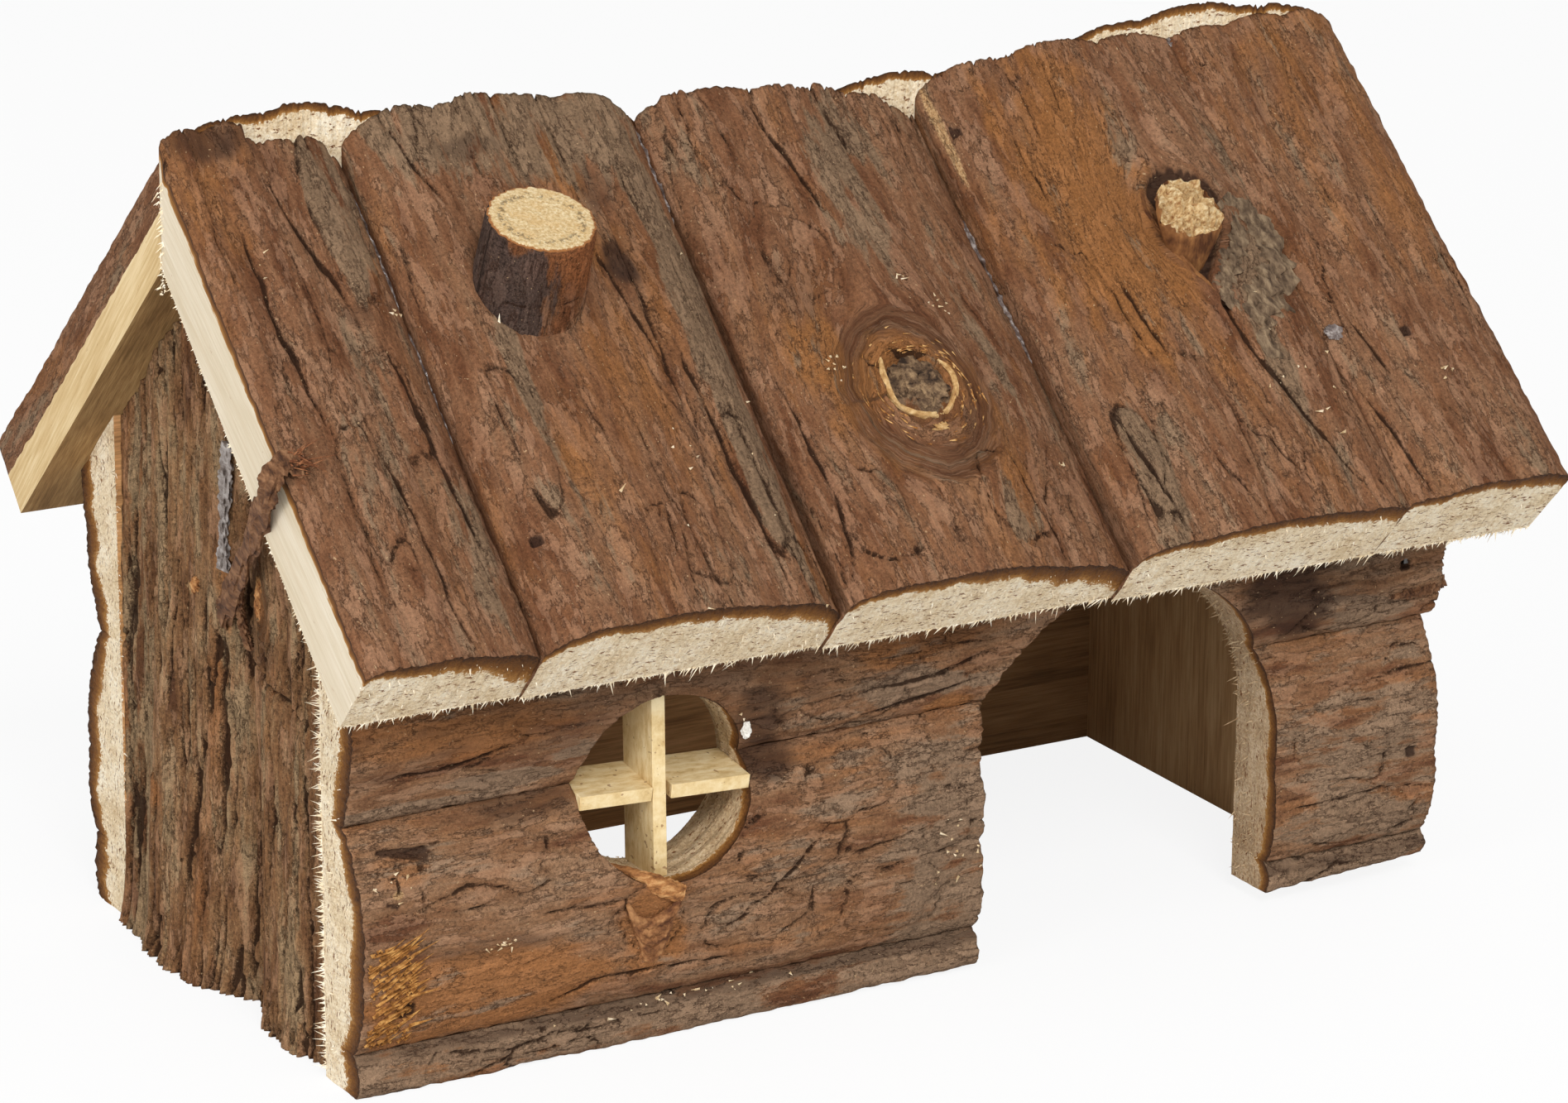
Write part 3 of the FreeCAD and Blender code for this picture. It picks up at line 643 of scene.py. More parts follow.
left_gable = [
    gable_slab("left_gable_front_slab", -1, LEFT_INNER_X,
               (FRONT_INNER_Y, -7.5, 10.4, 10.0, 6.2), (FRONT_INNER_Y, -7.5, 10.4, 10.0, 4.8),
               (Furrow(0.44, 0.40, 0.9), Furrow(0.82, 0.80, 1.0)),
               Coat(11, 0.55, (9, 62), 1.6, 0.6, 0.35,
                    knots=((-19.5, 84.5, 3.0, 0.8, 0.3, 0.6),),
                    cracks=((0.9, ((-13, 2), (-12, 30), (-11, 62))),
                            (0.7, ((-24, 0), (-23, 24), (-26, 52), (-22, 70))),
                            (0.5, ((-8, 69), (-22, 70), (-38, 66)))),
                    patches=((DARK, -20, 76, 14, 7, 0.45), (PALE, -19.5, 84.5, 2.2, 4.2, 0.9),
                             (RUST, -20, 84, 5, 7, 1.0)),
                    splits=LONG_SPLITS),
               flare=0.8),
    gable_slab("left_gable_rear_slab", -1, LEFT_INNER_X,
               (-7.5, BACK_INNER_Y, 10.4, 11.6, 7.4), (-7.5, BACK_INNER_Y, 9.8, 10.0, 4.8),
               (Furrow(0.38, 0.44, 0.8), Furrow(0.78, 0.86, 0.9)),
               Coat(23, 0.55, (10, 66), 1.6, 0.6, 0.35,
                    cracks=((1.0, ((40, 30), (39, 60), (38, 92))), (0.8, ((25, 2), (24, 28), (21, 40))),
                            (0.8, ((14, 0), (10, 26), (4, 54))),
                            (0.5, ((40.6, 0), (41.0, 40), (40.4, 74), (41.2, 98)))),
                    flush=(0.0, 3.9),
                    patches=((GREY, 34, 40, 9, 60, 0.6), (PALE, 11.0, 78.5, 1.8, 1.3, 0.9),
                             (RUST, 25, 33, 7, 3.5, 1.4)),
                    splits=LONG_SPLITS),
               flare=2.2),
]
for slab in left_gable:
    lay(slab, "wall_slab_wood", gable_bark, *sawn_wood)


# ---- Right gable ----------------------------------------------------------------------------------
# Two upright slabs of the same softwood at the other end, with their bark outside.  They are glued
# and nailed between the walls too.
RIGHT_INNER_X = 104.1
SHORT_SPLITS = ((4.2, 52, 0.7, 0.35), (2.4, 22, 0.35, 0.1))
right_gable = [
    gable_slab("right_gable_front_slab", 1, RIGHT_INNER_X, *[(FRONT_INNER_Y, 2.0, 10.6, 9.8, 4.8)] * 2,
               (Furrow(0.38, 0.42, 0.8), Furrow(0.74, 0.70, 0.7)),
               Coat(31, 0.5, (7, 34), 1.4, 0.6, 0.35, splits=SHORT_SPLITS)),
    gable_slab("right_gable_rear_slab", 1, RIGHT_INNER_X, *[(2.0, BACK_INNER_Y, 9.8, 10.6, 4.6)] * 2,
               (Furrow(0.46, 0.52, 0.8),),
               Coat(43, 0.5, (7, 34), 1.4, 0.6, 0.35, splits=SHORT_SPLITS)),
]
for slab in right_gable:
    lay(slab, "wall_slab_wood", gable_bark, *sawn_wood)


# ---- Back wall ------------------------------------------------------------------------------------
# Three level slabs of softwood, one on the other, barked outside and sawn flat inside.  Their ends
# are flush with the gables, to which they are nailed, and the top one is cut off under the roof.
WALLS_LEFT_X, WALLS_RIGHT_X = -121.8, 119.2
wall_bark = bark_finish(
    "wall_bark",
    ((104, 68, 47), (135, 98, 70), (150, 116, 88)),
    paint(154, 103, 62), paint(138, 114, 92), 0.02)
WALL_RIND = (5.2, 5.2)
WALL_STEP = 0.5
FLATTENING, FLAT_REACH = 0.38, 13               # the share of the round that is missing, and how far


def wall_slab(name, side, inner_y, at_left, at_right, furrows, coat, under_roof=False, right_end=0.0,
              lifted=(0.0, 0.0), flatter_at=()):
    """A level slab; across is Z, along is X.  The top one is cut off along the roof's underside.
    right_end is how far the slab's right end stands past the others, lifted is how far its lower and
    its upper edge curve up towards that end, and flatter_at are the places where its round is low."""
    right_x = WALLS_RIGHT_X + right_end

    def share(q):
        return (q - WALLS_LEFT_X) / (WALLS_RIGHT_X - WALLS_LEFT_X)

    def at(q):
        sizes = [a + (b - a) * share(q) for a, b in zip(at_left, at_right)]
        for edge, rise in enumerate(lifted):
            sizes[edge] = sizes[edge] + rise * np.clip(share(q), 0, 1) ** 2.5
        for x in flatter_at:
            sizes[-1] = sizes[-1] * (1 - FLATTENING * np.exp(-((q - x) / FLAT_REACH) ** 2))
        return sizes

    def across(s, q, out):
        first, last = at(q)[:2]
        if under_roof:
            last = SOFFIT_RIDGE_Z - SOFFIT_FALL * (abs(inner_y) + out)
        return first + (last - first) * s

    return Slab(
        name,
        lambda p, q, out: (q, inner_y + side * out, p),
        lambda x, y, z: (z, x, side * (y - inner_y)),
        across,
        lambda t, p, out: WALLS_LEFT_X + (right_x - WALLS_LEFT_X) * t + 0 * out,
        share, lambda q: at(q)[:4], lambda q: at(q)[4], WALL_FULLNESS, furrows, coat, WALL_RIND, WALL_STEP)


WALL_HEAD_Z = 104.0
back_wall = [
    wall_slab("back_wall_bottom_slab", 1, BACK_INNER_Y, *[(0.0, 14.0, 14.6, 15.0, 1.0)] * 2, (),
              Coat(51, 0.35, (8, 24), 0.8, 0.4, 0.25)),
    wall_slab("back_wall_middle_slab", 1, BACK_INNER_Y, *[(14.0, 57.7, 15.0, 9.8, 5.1)] * 2,
              (Furrow(0.40, 0.52, 0.7),),
              Coat(57, 0.35, (8, 24), 0.8, 0.4, 0.25)),
    wall_slab("back_wall_top_slab", 1, BACK_INNER_Y, *[(57.7, WALL_HEAD_Z, 9.8, 13.0, 5.0)] * 2,
              (Furrow(0.44, 0.36, 0.7),),
              Coat(63, 0.35, (8, 24), 0.8, 0.4, 0.25), under_roof=True),
]
# Painted shade: the back wall's inner faces are a darker copy of the planed wood, and painted light makes
# their left ends lighter.
back_inside_painted_shade_and_light = wood_finish("planed_back_wall", ((110, 80, 50), (150, 112, 73), (172, 134, 93)), False,
                          painted_light_left=1.1)
for slab in back_wall:
    lay(slab, "wall_slab_wood", wall_bark, *sawn_wood[:2], back_inside_painted_shade_and_light)


# ---- Front wall -----------------------------------------------------------------------------------
# Three level slabs of softwood in their bark.  An arched door and a round window were sawn through
# them once they were joined, so the middle and the bottom slab are left in two lengths.
DOOR_LEFT_X, DOOR_WIDTH, DOOR_SPRING_Z = 11.4, 68.6, 40.4
WINDOW_X, WINDOW_Z, WINDOW_RADIUS = -57.2, 49.9, 18.0
PLUG_FRONT_Y, PLUG_BACK_Y, PLUG_RINGS, PLUG_SIDES = -75.0, -40.0, 36, 360


def cutter(name, outline, furrowed, torn, kind):
    """A plug as wide as an opening, with saw ripples round it and, on its left, a torn edge."""
    bm = bmesh.new()
    upright = Matrix.Rotation(math.pi / 2, 4, "X")
    bmesh.ops.create_circle(bm, segments=PLUG_SIDES, radius=1.0, matrix=upright)
    rim = list(bm.edges)
    for _ in range(PLUG_RINGS):
        ring, rim = next_ring(bm, rim)
        bmesh.ops.translate(bm, verts=ring, vec=(0, 1.0, 0))
    bmesh.ops.holes_fill(bm, edges=[e for e in bm.edges if e.is_boundary])
    bmesh.ops.recalc_face_normals(bm, faces=bm.faces)
    mesh = meshed(bm, name)
    co = points_of(mesh)
    angle = np.arctan2(co[:, 2], co[:, 0])
    y = PLUG_FRONT_Y + (PLUG_BACK_Y - PLUG_FRONT_Y) * co[:, 1] / PLUG_RINGS
    x, z = outline(angle)
    ripple = furrowed * waves(angle * 1.5, y / 1.9, 71) + 0.10 * waves(angle * 30, y / 4, 72)
    ripple += torn * ease(-np.cos(angle), 0.1, 0.5) * rough(z / 2.4, y / 5, 73, 3)
    move_points(mesh, np.stack([x + ripple * np.cos(angle), y, z + ripple * np.sin(angle)], 1))
    for _ in range(DOOR + 1):
        mesh.materials.append(None)
    choose_materials(mesh, np.full(len(mesh.polygons), kind))
    mesh.update()
    return stand(name, mesh)


def window_outline(angle):
    return WINDOW_X + WINDOW_RADIUS * np.cos(angle), WINDOW_Z + WINDOW_RADIUS * np.sin(angle)


def door_outline(angle):
    radius = DOOR_WIDTH / 2
    square = np.clip(np.stack([np.cos(angle), np.sin(angle)]) * math.sqrt(2), -1, 1)
    x = np.where(angle >= 0, np.cos(angle), square[0])
    z = np.where(angle >= 0, np.sin(angle) * radius, square[1] * (DOOR_SPRING_Z + 12))
    return DOOR_LEFT_X + radius + radius * x, DOOR_SPRING_Z + z


front_wall = [
    (wall_slab("front_wall_bottom_slab", -1, FRONT_INNER_Y,
               (0.0, 8.5, 14.2, 12.6, 0.8), (0.0, 8.5, 12.2, 11.8, 0.8), (),
               Coat(81, 0.3, (6, 18), 0.7, 0.4, 0.2,
                    patches=((GREY, 4, 0, 9, 200, 0.8), (DARK, 7.5, 0, 1.6, 200, 0.55))),
               right_end=-0.8, lifted=(4.4, 1.2)), True),
    (wall_slab("front_wall_middle_slab", -1, FRONT_INNER_Y,
               (8.5, 51.6, 12.6, 9.4, 6.2), (8.5, 54.8, 12.6, 9.4, 5.6), (Furrow(0.36, 0.44, 0.7),),
               Coat(87, 0.28, (11, 24), 0.8, 0.27, 0.25,
                    cracks=((0.4, ((18.7, -51.5), (27, -35.7), (33.7, -28.2), (38, -24))),
                            (0.3, ((25.3, -27.3), (17, -27))),
                            (0.35, ((10.3, -88), (15.3, -74), (15.3, -52.3), (13.7, -40.7))),
                            (0.35, ((20.3, 81), (22.8, 104.3), (21.2, 116))),
                            (0.6, ((14, -118), (19, -112))),
                            (0.3, ((36, -112), (39, -100), (36, -88), (38, -80))),
                            (0.5, ((44.5, -119), (42, -114), (39.5, -113.5))),
                            (0.25, ((31, -70.5), (24, -68), (17.5, -64))),
                            (0.25, ((29.5, -54.2), (23, -56), (17, -60.5)))),
                    patches=((RUST, 17, -98, 9, 24, 1.25), (RUST, 12, -112, 6, 9, 1.5),
                             (RUST, 24, -62, 9, 6, 1.4), (RUST, 43, -113, 3.5, 6, 0.6),
                             (PALE, 39.6, -114.0, 1.0, 1.6, 0.8), (DARK, 26, -95, 3, 14, 0.4),
                             (GREY, 20, 3, 30, 17, 0.8), (GREY, 24, 102, 30, 26, 0.7),
                             (DARK, 52, -36, 6, 8, 0.8), (DARK, 50, -86, 4, 12, 0.6)),
                    hollows=((((46.9, -116.5), (45.6, -107.5)), 0.5, 1.3, 1.3),
                             (((38.2, -116.5), (37.6, -114.5)), 0.4, 0.6, 0.7)),
                    pits=((17.0, -112.5, 1.2, 1.4), (28.7, 111.5, 0.9, 1.2)),
                    plates=((41, -96, 6, 12, 0.5, 0.2), (35, -32, 7, 11, 0.5, 0.2),
                            (22, -40, 5, 11, 0.5, 0.1), (44, -18, 6, 10, 0.5, 0.3),
                            (20, -9, 7, 10, 0.5, 0.2), (33, 1, 6, 7, 0.4, 0.2), (33, 95, 8, 10, 0.5, 0.3),
                            (16, 102, 5, 12, 0.4, 0.3), (45, 112, 5, 5, 0.4, 0.2))),
               right_end=-1.5, lifted=(1.2, 0.0), flatter_at=(DOOR_LEFT_X, DOOR_LEFT_X + DOOR_WIDTH)),
               True),
    (wall_slab("front_wall_top_slab", -1, FRONT_INNER_Y,
               (51.6, WALL_HEAD_Z, 9.2, 13.0, 3.4), (54.8, WALL_HEAD_Z, 9.8, 13.0, 3.4),
               (Furrow(0.42, 0.36, 0.7),),
               Coat(93, 0.35, (6, 30), 0.8, 0.34, 0.25,
                    cracks=((0.4, ((60, -117), (61, -100), (64, -86))), (0.35, ((56.5, 84), (64, 92))),
                            (0.45, ((61, -16), (62, 2), (65.5, 16))),
                            (0.4, ((55.8, -14), (57.5, 0), (60, 12)))),
                    # The two broad DARK patches high on this slab, at 74 and 76 up, are painted shade under
                    # the eave.
                    patches=((DARK, 76, -60, 22, 90, 0.42), (DARK, 74, 96, 20, 26, 0.45),
                             (DARK, 65, 84, 12, 15, 0.85), (DARK, 60, -36, 9, 7, 0.7),
                             (GREY, 53.6, -110, 1.5, 14, 1.3), (GREY, 56.5, -88, 2.0, 14, 1.3),
                             (GREY, 59.5, -76, 2.2, 7, 1.2), (RUST, 70, -100, 9, 24, 0.5),
                             (GREY, 60, -2, 3.6, 17, 1.2), (RUST, 70, 0, 5, 18, 0.7),
                             (DARK, 71, 2, 6, 16, 0.5), (RUST, 54.6, 6, 2.2, 7, 1.3),
                             (GREY, 57, 105, 3, 12, 0.9)),
                    pits=((84.5, -110.0, 1.1, 1.2), (67.5, 110.7, 1.0, 1.2)),
                    plates=((59, -20, 5, 14, 0.5, 0.3), (61, 96, 5, 9, 0.5, 0.4))),
               under_roof=True, right_end=0.8), False),
]
# Painted shade: the sawn faces round the window and the door are darker copies of the end grain.
jigsawn_painted_shade = (wood_finish("sawn_window", ((166, 138, 104), (206, 180, 142), (230, 208, 174)), True, 0.6),
           wood_finish("sawn_door", ((150, 122, 92), (188, 160, 126), (216, 192, 160)), True, 0.6))
plugs = [cutter("window_plug", window_outline, 0.50, 0.2, WINDOW),
         cutter("door_plug", door_outline, 0.12, 0.8, DOOR)]
for slab, parted in front_wall:
    whole = stand(slab.name, saw(slab))
    for _ in range(DOOR + 1):
        whole.data.materials.append(None)
    for plug in plugs:
        cut = whole.modifiers.new(plug.name, "BOOLEAN")
        cut.operation = "DIFFERENCE"
        cut.solver = "EXACT"
        cut.object = plug
    mesh = bpy.data.meshes.new_from_object(whole.evaluated_get(bpy.context.evaluated_depsgraph_get()))
    bpy.data.objects.remove(whole)
    door_middle = (DOOR_LEFT_X + DOOR_WIDTH / 2) * MM
    for side, name in ((-1, "left"), (1, "right")) if parted else ((0, ""),):
        half = mesh.copy()
        if side:
            bm = bmesh.new()
            bm.from_mesh(half)
            beyond = [v for v in bm.verts if (v.co.x - door_middle) * side < 0]
            bmesh.ops.delete(bm, geom=beyond, context="VERTS")
            bm.to_mesh(half)
            bm.free()
        dress(half, slab, (wall_bark, *sawn_wood, *jigsawn_painted_shade))
        full_name = slab.name.replace("_slab", f"_{name}_slab") if parted else slab.name
        piece(full_name, half, "wall_slab_wood", full_name)
for plug in plugs:
    bpy.data.objects.remove(plug)


# ---- Window cross ---------------------------------------------------------------------------------
# Two thin slats of pale sawn wood, half-lapped into each other and pressed into the round window.
# They fit loosely, so both stand a little off the middle and the cross slat leans back.
slat_look = Finish("slat_wood", 0.7, 0.3)
slat_place = slat_look.add("ShaderNodeTexCoord").outputs["Object"]
slat_streak = slat_look.noise(slat_place, (260.0, 700.0, 260.0), 5.0, 0.65)
slat_speck = slat_look.noise(slat_place, (700.0, 500.0, 700.0), 2.0, 0.5)
SLAT_TONES = ((206, 174, 118), (228, 202, 150), (240, 220, 176))
slat_tone = slat_look.ramp(slat_streak, *shades(SLAT_TONES, 0.34, 0.5, 0.66))
specked = slat_look.math("MULTIPLY", slat_look.band(slat_speck, 0.66, 0.71), 0.7)
slat_look.colour(slat_look.mix(specked, slat_tone, paint(140, 92, 54)))
slat_look.bump(slat_streak, 0.0003, 0.5)
SLAT_THICK, SLAT_FRONT_Y = 2.8, -59.6
UPRIGHT_DEPTH, CROSS_DEPTH, LAP = 11.6, 12.4, 5.2
SLOT_PLAY, CROSS_SLOT_PLAY = 0.1, 1.2           # beside the wood; the wide one is on the right of one slot
UPRIGHT_X, CROSS_Z = -1.3, -1.45                # how far each stands off the window's middle
UPRIGHT_ROLL, CROSS_ROLL = math.radians(-1.0), math.radians(2.6)
CROSS_LEAN = math.radians(7.0)                  # its rear edge stands higher
SLAT_EDGE = 0.12                                # how much the slats' edges are broken


def slat(name, outline, laid, roll, off):
    """A slat sawn to an outline (along it, back from its front), laid in place and rolled in the wall,
    off (x, z) the window's middle."""
    bm = bmesh.new()
    face = bm.faces.new([bm.verts.new((along, back, -SLAT_THICK / 2)) for along, back in outline])
    made = bmesh.ops.extrude_face_region(bm, geom=[face])["geom"]
    bmesh.ops.translate(bm, verts=[g for g in made if isinstance(g, bmesh.types.BMVert)],
                        vec=(0, 0, SLAT_THICK))
    bmesh.ops.recalc_face_normals(bm, faces=bm.faces)
    bmesh.ops.bevel(bm, geom=bm.edges[:], offset=SLAT_EDGE, segments=1, profile=0.5, affect="EDGES",
                    material=-1)
    place = Matrix.Translation((WINDOW_X + off[0], SLAT_FRONT_Y, WINDOW_Z + off[1]))
    turned = Matrix.Rotation(roll, 4, "Y") @ laid
    bmesh.ops.transform(bm, matrix=Matrix.Scale(MM, 4) @ place @ turned, verts=bm.verts)
    mesh = meshed(bm, name)
    mesh.materials.append(slat_look.material)
    piece(name, mesh, "slat_wood", name)


end = WINDOW_RADIUS
half_slot = SLAT_THICK / 2 + SLOT_PLAY
slot_foot, slot_back = (CROSS_Z + back * math.tan(CROSS_LEAN) for back in (LAP, UPRIGHT_DEPTH))
slat("window_upright_slat",
     ((-end, 0), (end, 0), (end, UPRIGHT_DEPTH),
      (slot_back + half_slot, UPRIGHT_DEPTH), (slot_foot + half_slot, LAP),
      (slot_foot - half_slot, LAP), (slot_back - half_slot, UPRIGHT_DEPTH),
      (-end, UPRIGHT_DEPTH)),
     Matrix.Rotation(-math.pi / 2, 4, "Y"), UPRIGHT_ROLL, (UPRIGHT_X, 0))
slot_left, slot_right = UPRIGHT_X - half_slot, UPRIGHT_X + SLAT_THICK / 2 + CROSS_SLOT_PLAY
slat("window_cross_slat",
     ((-end, 0), (slot_left, 0), (slot_left, LAP), (slot_right, LAP), (slot_right, 0),
      (end, 0), (end, CROSS_DEPTH), (-end, CROSS_DEPTH)),
     Matrix.Rotation(CROSS_LEAN, 4, "X"), CROSS_ROLL, (0, CROSS_Z))


# ---- Roof -----------------------------------------------------------------------------------------
# Two panels of log cuts in their bark, laid edge to edge with the grain down the slope.  They are
# mitred plumb at the ridge, sawn square at the eaves, and nailed to the gables and the walls.
SOFFIT_LENGTH = 98.6
RIDGE_OVERRUN = 24.0
roof_bark = bark_finish(
    "roof_bark",
    ((102, 65, 43), (126, 87, 61), (138, 101, 74)),
    paint(144, 95, 53), paint(128, 105, 82), 0.02)


def roof_slab(name, side, at_ridge, at_eave, reach, full, furrows, rind, coat, step, barked):
    """A roof slab; across is X, along is down the underside from the ridge.  Each end is its edges,
    its thickness at them and its crown; the ridge end is given where the log was sawn off."""
    foot = SOFFIT_LENGTH + reach

    def share(q):
        return (q + RIDGE_OVERRUN) / (foot + RIDGE_OVERRUN)

    def at(q):
        return [a + (b - a) * share(q) for a, b in zip(at_ridge, at_eave)]

    def place(p, q, out):
        return (p, side * (q * math.cos(ROOF_PITCH) + out * math.sin(ROOF_PITCH)),
                SOFFIT_RIDGE_Z - q * math.sin(ROOF_PITCH) + out * math.cos(ROOF_PITCH))

    def unplace(x, y, z):
        y, z = side * y, z - SOFFIT_RIDGE_Z
        return (x, y * math.cos(ROOF_PITCH) - z * math.sin(ROOF_PITCH),
                y * math.sin(ROOF_PITCH) + z * math.cos(ROOF_PITCH))

    def across(s, q, out):
        first, last = at(q)[:2]
        return first + (last - first) * s

    return Slab(name, place, unplace, across,
                lambda t, p, out: t * foot - (1 - t) * out * SOFFIT_FALL,
                share, lambda q: at(q)[:4], lambda q: at(q)[4], full, furrows, coat, rind, step, barked)


# The back panel's sawn sides take a darker, more golden copy of the planed wood: partly a warmer tone,
# partly painted shade.
rake_wood = (sawn_wood[1],
             wood_finish("planed_golden_wood", ((188, 156, 106), (208, 180, 132), (224, 200, 156)), False))
# Painted shade: the roof's underside is a darker copy of the planed wood.
soffit_painted_shade = wood_finish("planed_soffit", ((118, 88, 52), (152, 118, 74), (176, 142, 94)), False)

# Each slab: its two ends, how far its sawn end reaches past the others, how full its round is, its
# furrows, how thick the rind is at its edges, and its bark.
front_roof = [
    ((-130.0, -93.2, 16.0, 12.0, 2.7), (-130.0, -94.4, 17.2, 13.6, 3.2), 0.0, 2.4,
     (Furrow(0.22, 0.30, 0.8), Furrow(0.52, 0.76, 0.9)), (2.0, 8.5),
     Coat(101, 0.42, (7, 42), 0.9, 0.34, 0.25,
          cracks=((0.5, ((-121, 3), (-120.5, 25), (-119, 50))), (0.6, ((-112, -6), (-109, 8), (-105, 22))),
                  (0.5, ((-102, 30), (-100, 52), (-98, 80))), (0.4, ((-113, 40), (-110, 70), (-109, 95)))),
          patches=((GREY, -99, 74, 4, 28, 0.6), (DARK, -104, 25, 4, 3, 0.5), (RUST, -118, 10, 10, 40, 0.3),
                   (DARK, -121, -14, 9, 5, 0.7)),
          plates=((-121.5, -13, 8.6, 6.5, 1.7, 0.0), (-100.5, 3, 4.6, 19, 0.9, 0.9),
                  (-103, 44, 4, 12, 0.5, 0.3), (-116, 62, 4, 14, 0.5, 0.1)))),
    ((-93.2, -31.5, 14.4, 12.8, 4.9), (-94.4, -32.0, 15.8, 10.8, 8.3), 0.5, 4.2,
     (Furrow(0.30, 0.24, 0.7), Furrow(0.72, 0.80, 1.0)), (3.0, 5.5),
     Coat(107, 0.32, (7, 42), 0.9, 0.33, 0.25,
          cracks=((0.5, ((-46, 40), (-44.6, 70), (-43.6, 97))), (0.35, ((-86, -18), (-83, -2), (-80, 6))),
                  (0.4, ((-56, 14), (-53, 30), (-50, 52)))),
          patches=((GREY, -62, -9, 30, 14, 0.9), (GREY, -38.5, 30, 4.6, 70, 1.3),
                   (GREY, -80, 44, 2.0, 24, 1.0), (RUST, -64, 62, 18, 34, 0.5), (RUST, -54, 10, 5, 16, 0.7),
                   (DARK, -50, 6, 5, 7, 0.5), (DARK, -49.5, 23, 4, 6, 0.9), (DARK, -72, -6, 6, 3.5, 0.5),
                   (GREY, -86, -14, 4, 10, 0.9)),
          pits=((-89.5, 78.0, 0.9, 1.2),),
          plates=((-40.5, 72, 3.4, 15, 0.6, 1.0), (-84, 58, 3.0, 16, 0.4, 0.2),
                  (-60, 84, 5, 9, 0.3, 0.0)))),
    ((-31.5, 31.0, 12.9, 7.2, 5.2), (-32.0, 31.5, 16.0, 9.0, 6.8), 1.2, 2.5,
     (Furrow(0.40, 0.26, 0.9), Furrow(0.72, 0.78, 0.8)), (2.4, 7.0),
     Coat(113, 0.34, (7, 40), 0.9, 0.33, 0.25, knots=((-1.8, 60.0, 8.0, 2.2, 0.0, 1.6),), flush=(0.0, 0.6),
          cracks=((0.5, ((-8, -12), (-5, 4), (-3, 16))), (0.45, ((-28, 50), (-27, 80), (-30, 97))),
                  (0.8, ((-5, 50.4), (-1, 51.0), (3, 52.2))),
                  (0.6, ((-10.5, 51), (-9.2, 53.6), (-8, 54.5))), (0.35, ((-22, 4), (-19, 12), (-12, 14))),
                  (0.4, ((12, 72), (14, 84), (16, 96)))),
          patches=((GREY, 4, 14, 8, 28, 0.7), (RUST, -3, 60, 17, 15, 0.9), (GREY, 21, 46, 4, 24, 0.7),
                   (RUST, -17, 50, 6, 10, 0.9), (DARK, -18, 36, 5, 12, 0.35),
                   (GREY, -1.2, 59.6, 6.5, 6.0, 1.2)),
          plates=((-22, -4, 5, 12, 0.5, 0.1), (-12, 26, 7, 9, 0.5, 0.1), (9, 84, 7, 10, 0.5, 0.5),
                  (-20, 84, 6, 9, 0.4, 0.2)))),
    ((31.0, 90.0, 11.2, 14.0, 3.7), (31.5, 92.0, 15.5, 16.5, 4.6), 1.8, 3.0,
     (Furrow(0.34, 0.22, 0.6), Furrow(0.70, 0.84, 0.9)), (2.4, 5.0),
     Coat(119, 0.26, (9, 46), 0.8, 0.32, 0.25, knots=((72.0, 31.0, 6.5, 0.7, 0.0, 0.0),), flush=(0.0, 1.1),
          hollows=((((70.8, 45.0), (71.5, 38.0), (74.5, 26.0)), 0.6, 8.3, 2.2),
                   (((72.4, 50.4), (72.2, 52.6)), 0.9, 0.5, 1.6)),
          cracks=((0.7, ((72.0, 48), (72.5, 58), (75, 68), (84, 96))), (0.45, ((38, 66), (41, 98))),
                  (0.35, ((52, 40), (55, 62))), (0.3, ((45, 2), (46, 22)))),
          patches=((RUST, 54, 20, 15, 42, 1.0), (GREY, 85, 44, 7, 11, 1.1), (GREY, 78, 62, 3.5, 16, 1.0),
                   (GREY, 40, 84, 4, 18, 0.9), (PALE, 32.4, 2, 0.9, 16, 0.6), (RUST, 62, 30, 4, 14, 1.0)),
          pits=((34.8, 0.6, 0.9, 1.2),),
          plates=((40, 82, 3.5, 12, 0.5, 0.8),))),
    ((90.0, 130.0, 13.7, 14.7, 2.4), (92.0, 130.0, 17.0, 18.8, 3.6), 1.8, 2.8,
     (Furrow(0.36, 0.20, 0.8), Furrow(0.70, 0.60, 0.6)), (2.4, 4.5),
     Coat(127, 0.24, (9, 46), 0.8, 0.30, 0.25, flush=(1.1, 0.0),
          cracks=((0.5, ((93, 74), (95, 84), (97, 98))), (0.35, ((98, 58), (101, 72)))),
          patches=((RUST, 115, 20, 14, 40, 0.5), (DARK, 104, 0, 6, 14, 0.3)),
          pits=((85.5, 80.0, 0.9, 1.2), (107.8, 63.6, 0.9, 1.0)))),
]
back_roof = [
    ((-130.0, -69.0, 15.4, 12.0, 6.6), (-130.0, -66.0, 16.4, 12.0, 6.6), 0.0, 2.6,
     (Furrow(0.31, 0.35, 0.8), Furrow(0.67, 0.70, 0.8)), (1.3, 1.3),
     Coat(131, 0.38, (7, 40), 0.9, 0.42, 0.25)),
    ((-69.0, -6.0, 9.0, 9.0, 3.4), (-66.0, -7.0, 15.0, 15.0, 3.0), 0.8, 2.6,
     (Furrow(0.36, 0.28, 0.7), Furrow(0.70, 0.64, 0.9)), (1.3, 1.3),
     Coat(137, 0.34, (7, 40), 0.9, 0.42, 0.25)),
    ((-6.0, 61.0, 9.6, 11.0, 4.0), (-7.0, 58.0, 15.0, 14.0, 2.8), 0.4, 2.6,
     (Furrow(0.28, 0.34, 0.9), Furrow(0.62, 0.72, 0.7)), (1.3, 1.3),
     Coat(143, 0.34, (7, 40), 0.9, 0.42, 0.25)),
    ((61.0, 130.0, 13.8, 14.9, 5.2), (58.0, 130.0, 14.0, 15.5, 5.7), 2.3, 2.6,
     (Furrow(0.34, 0.26, 0.8), Furrow(0.68, 0.66, 0.8)), (1.3, 1.3),
     Coat(149, 0.34, (7, 40), 0.9, 0.42, 0.25)),
]
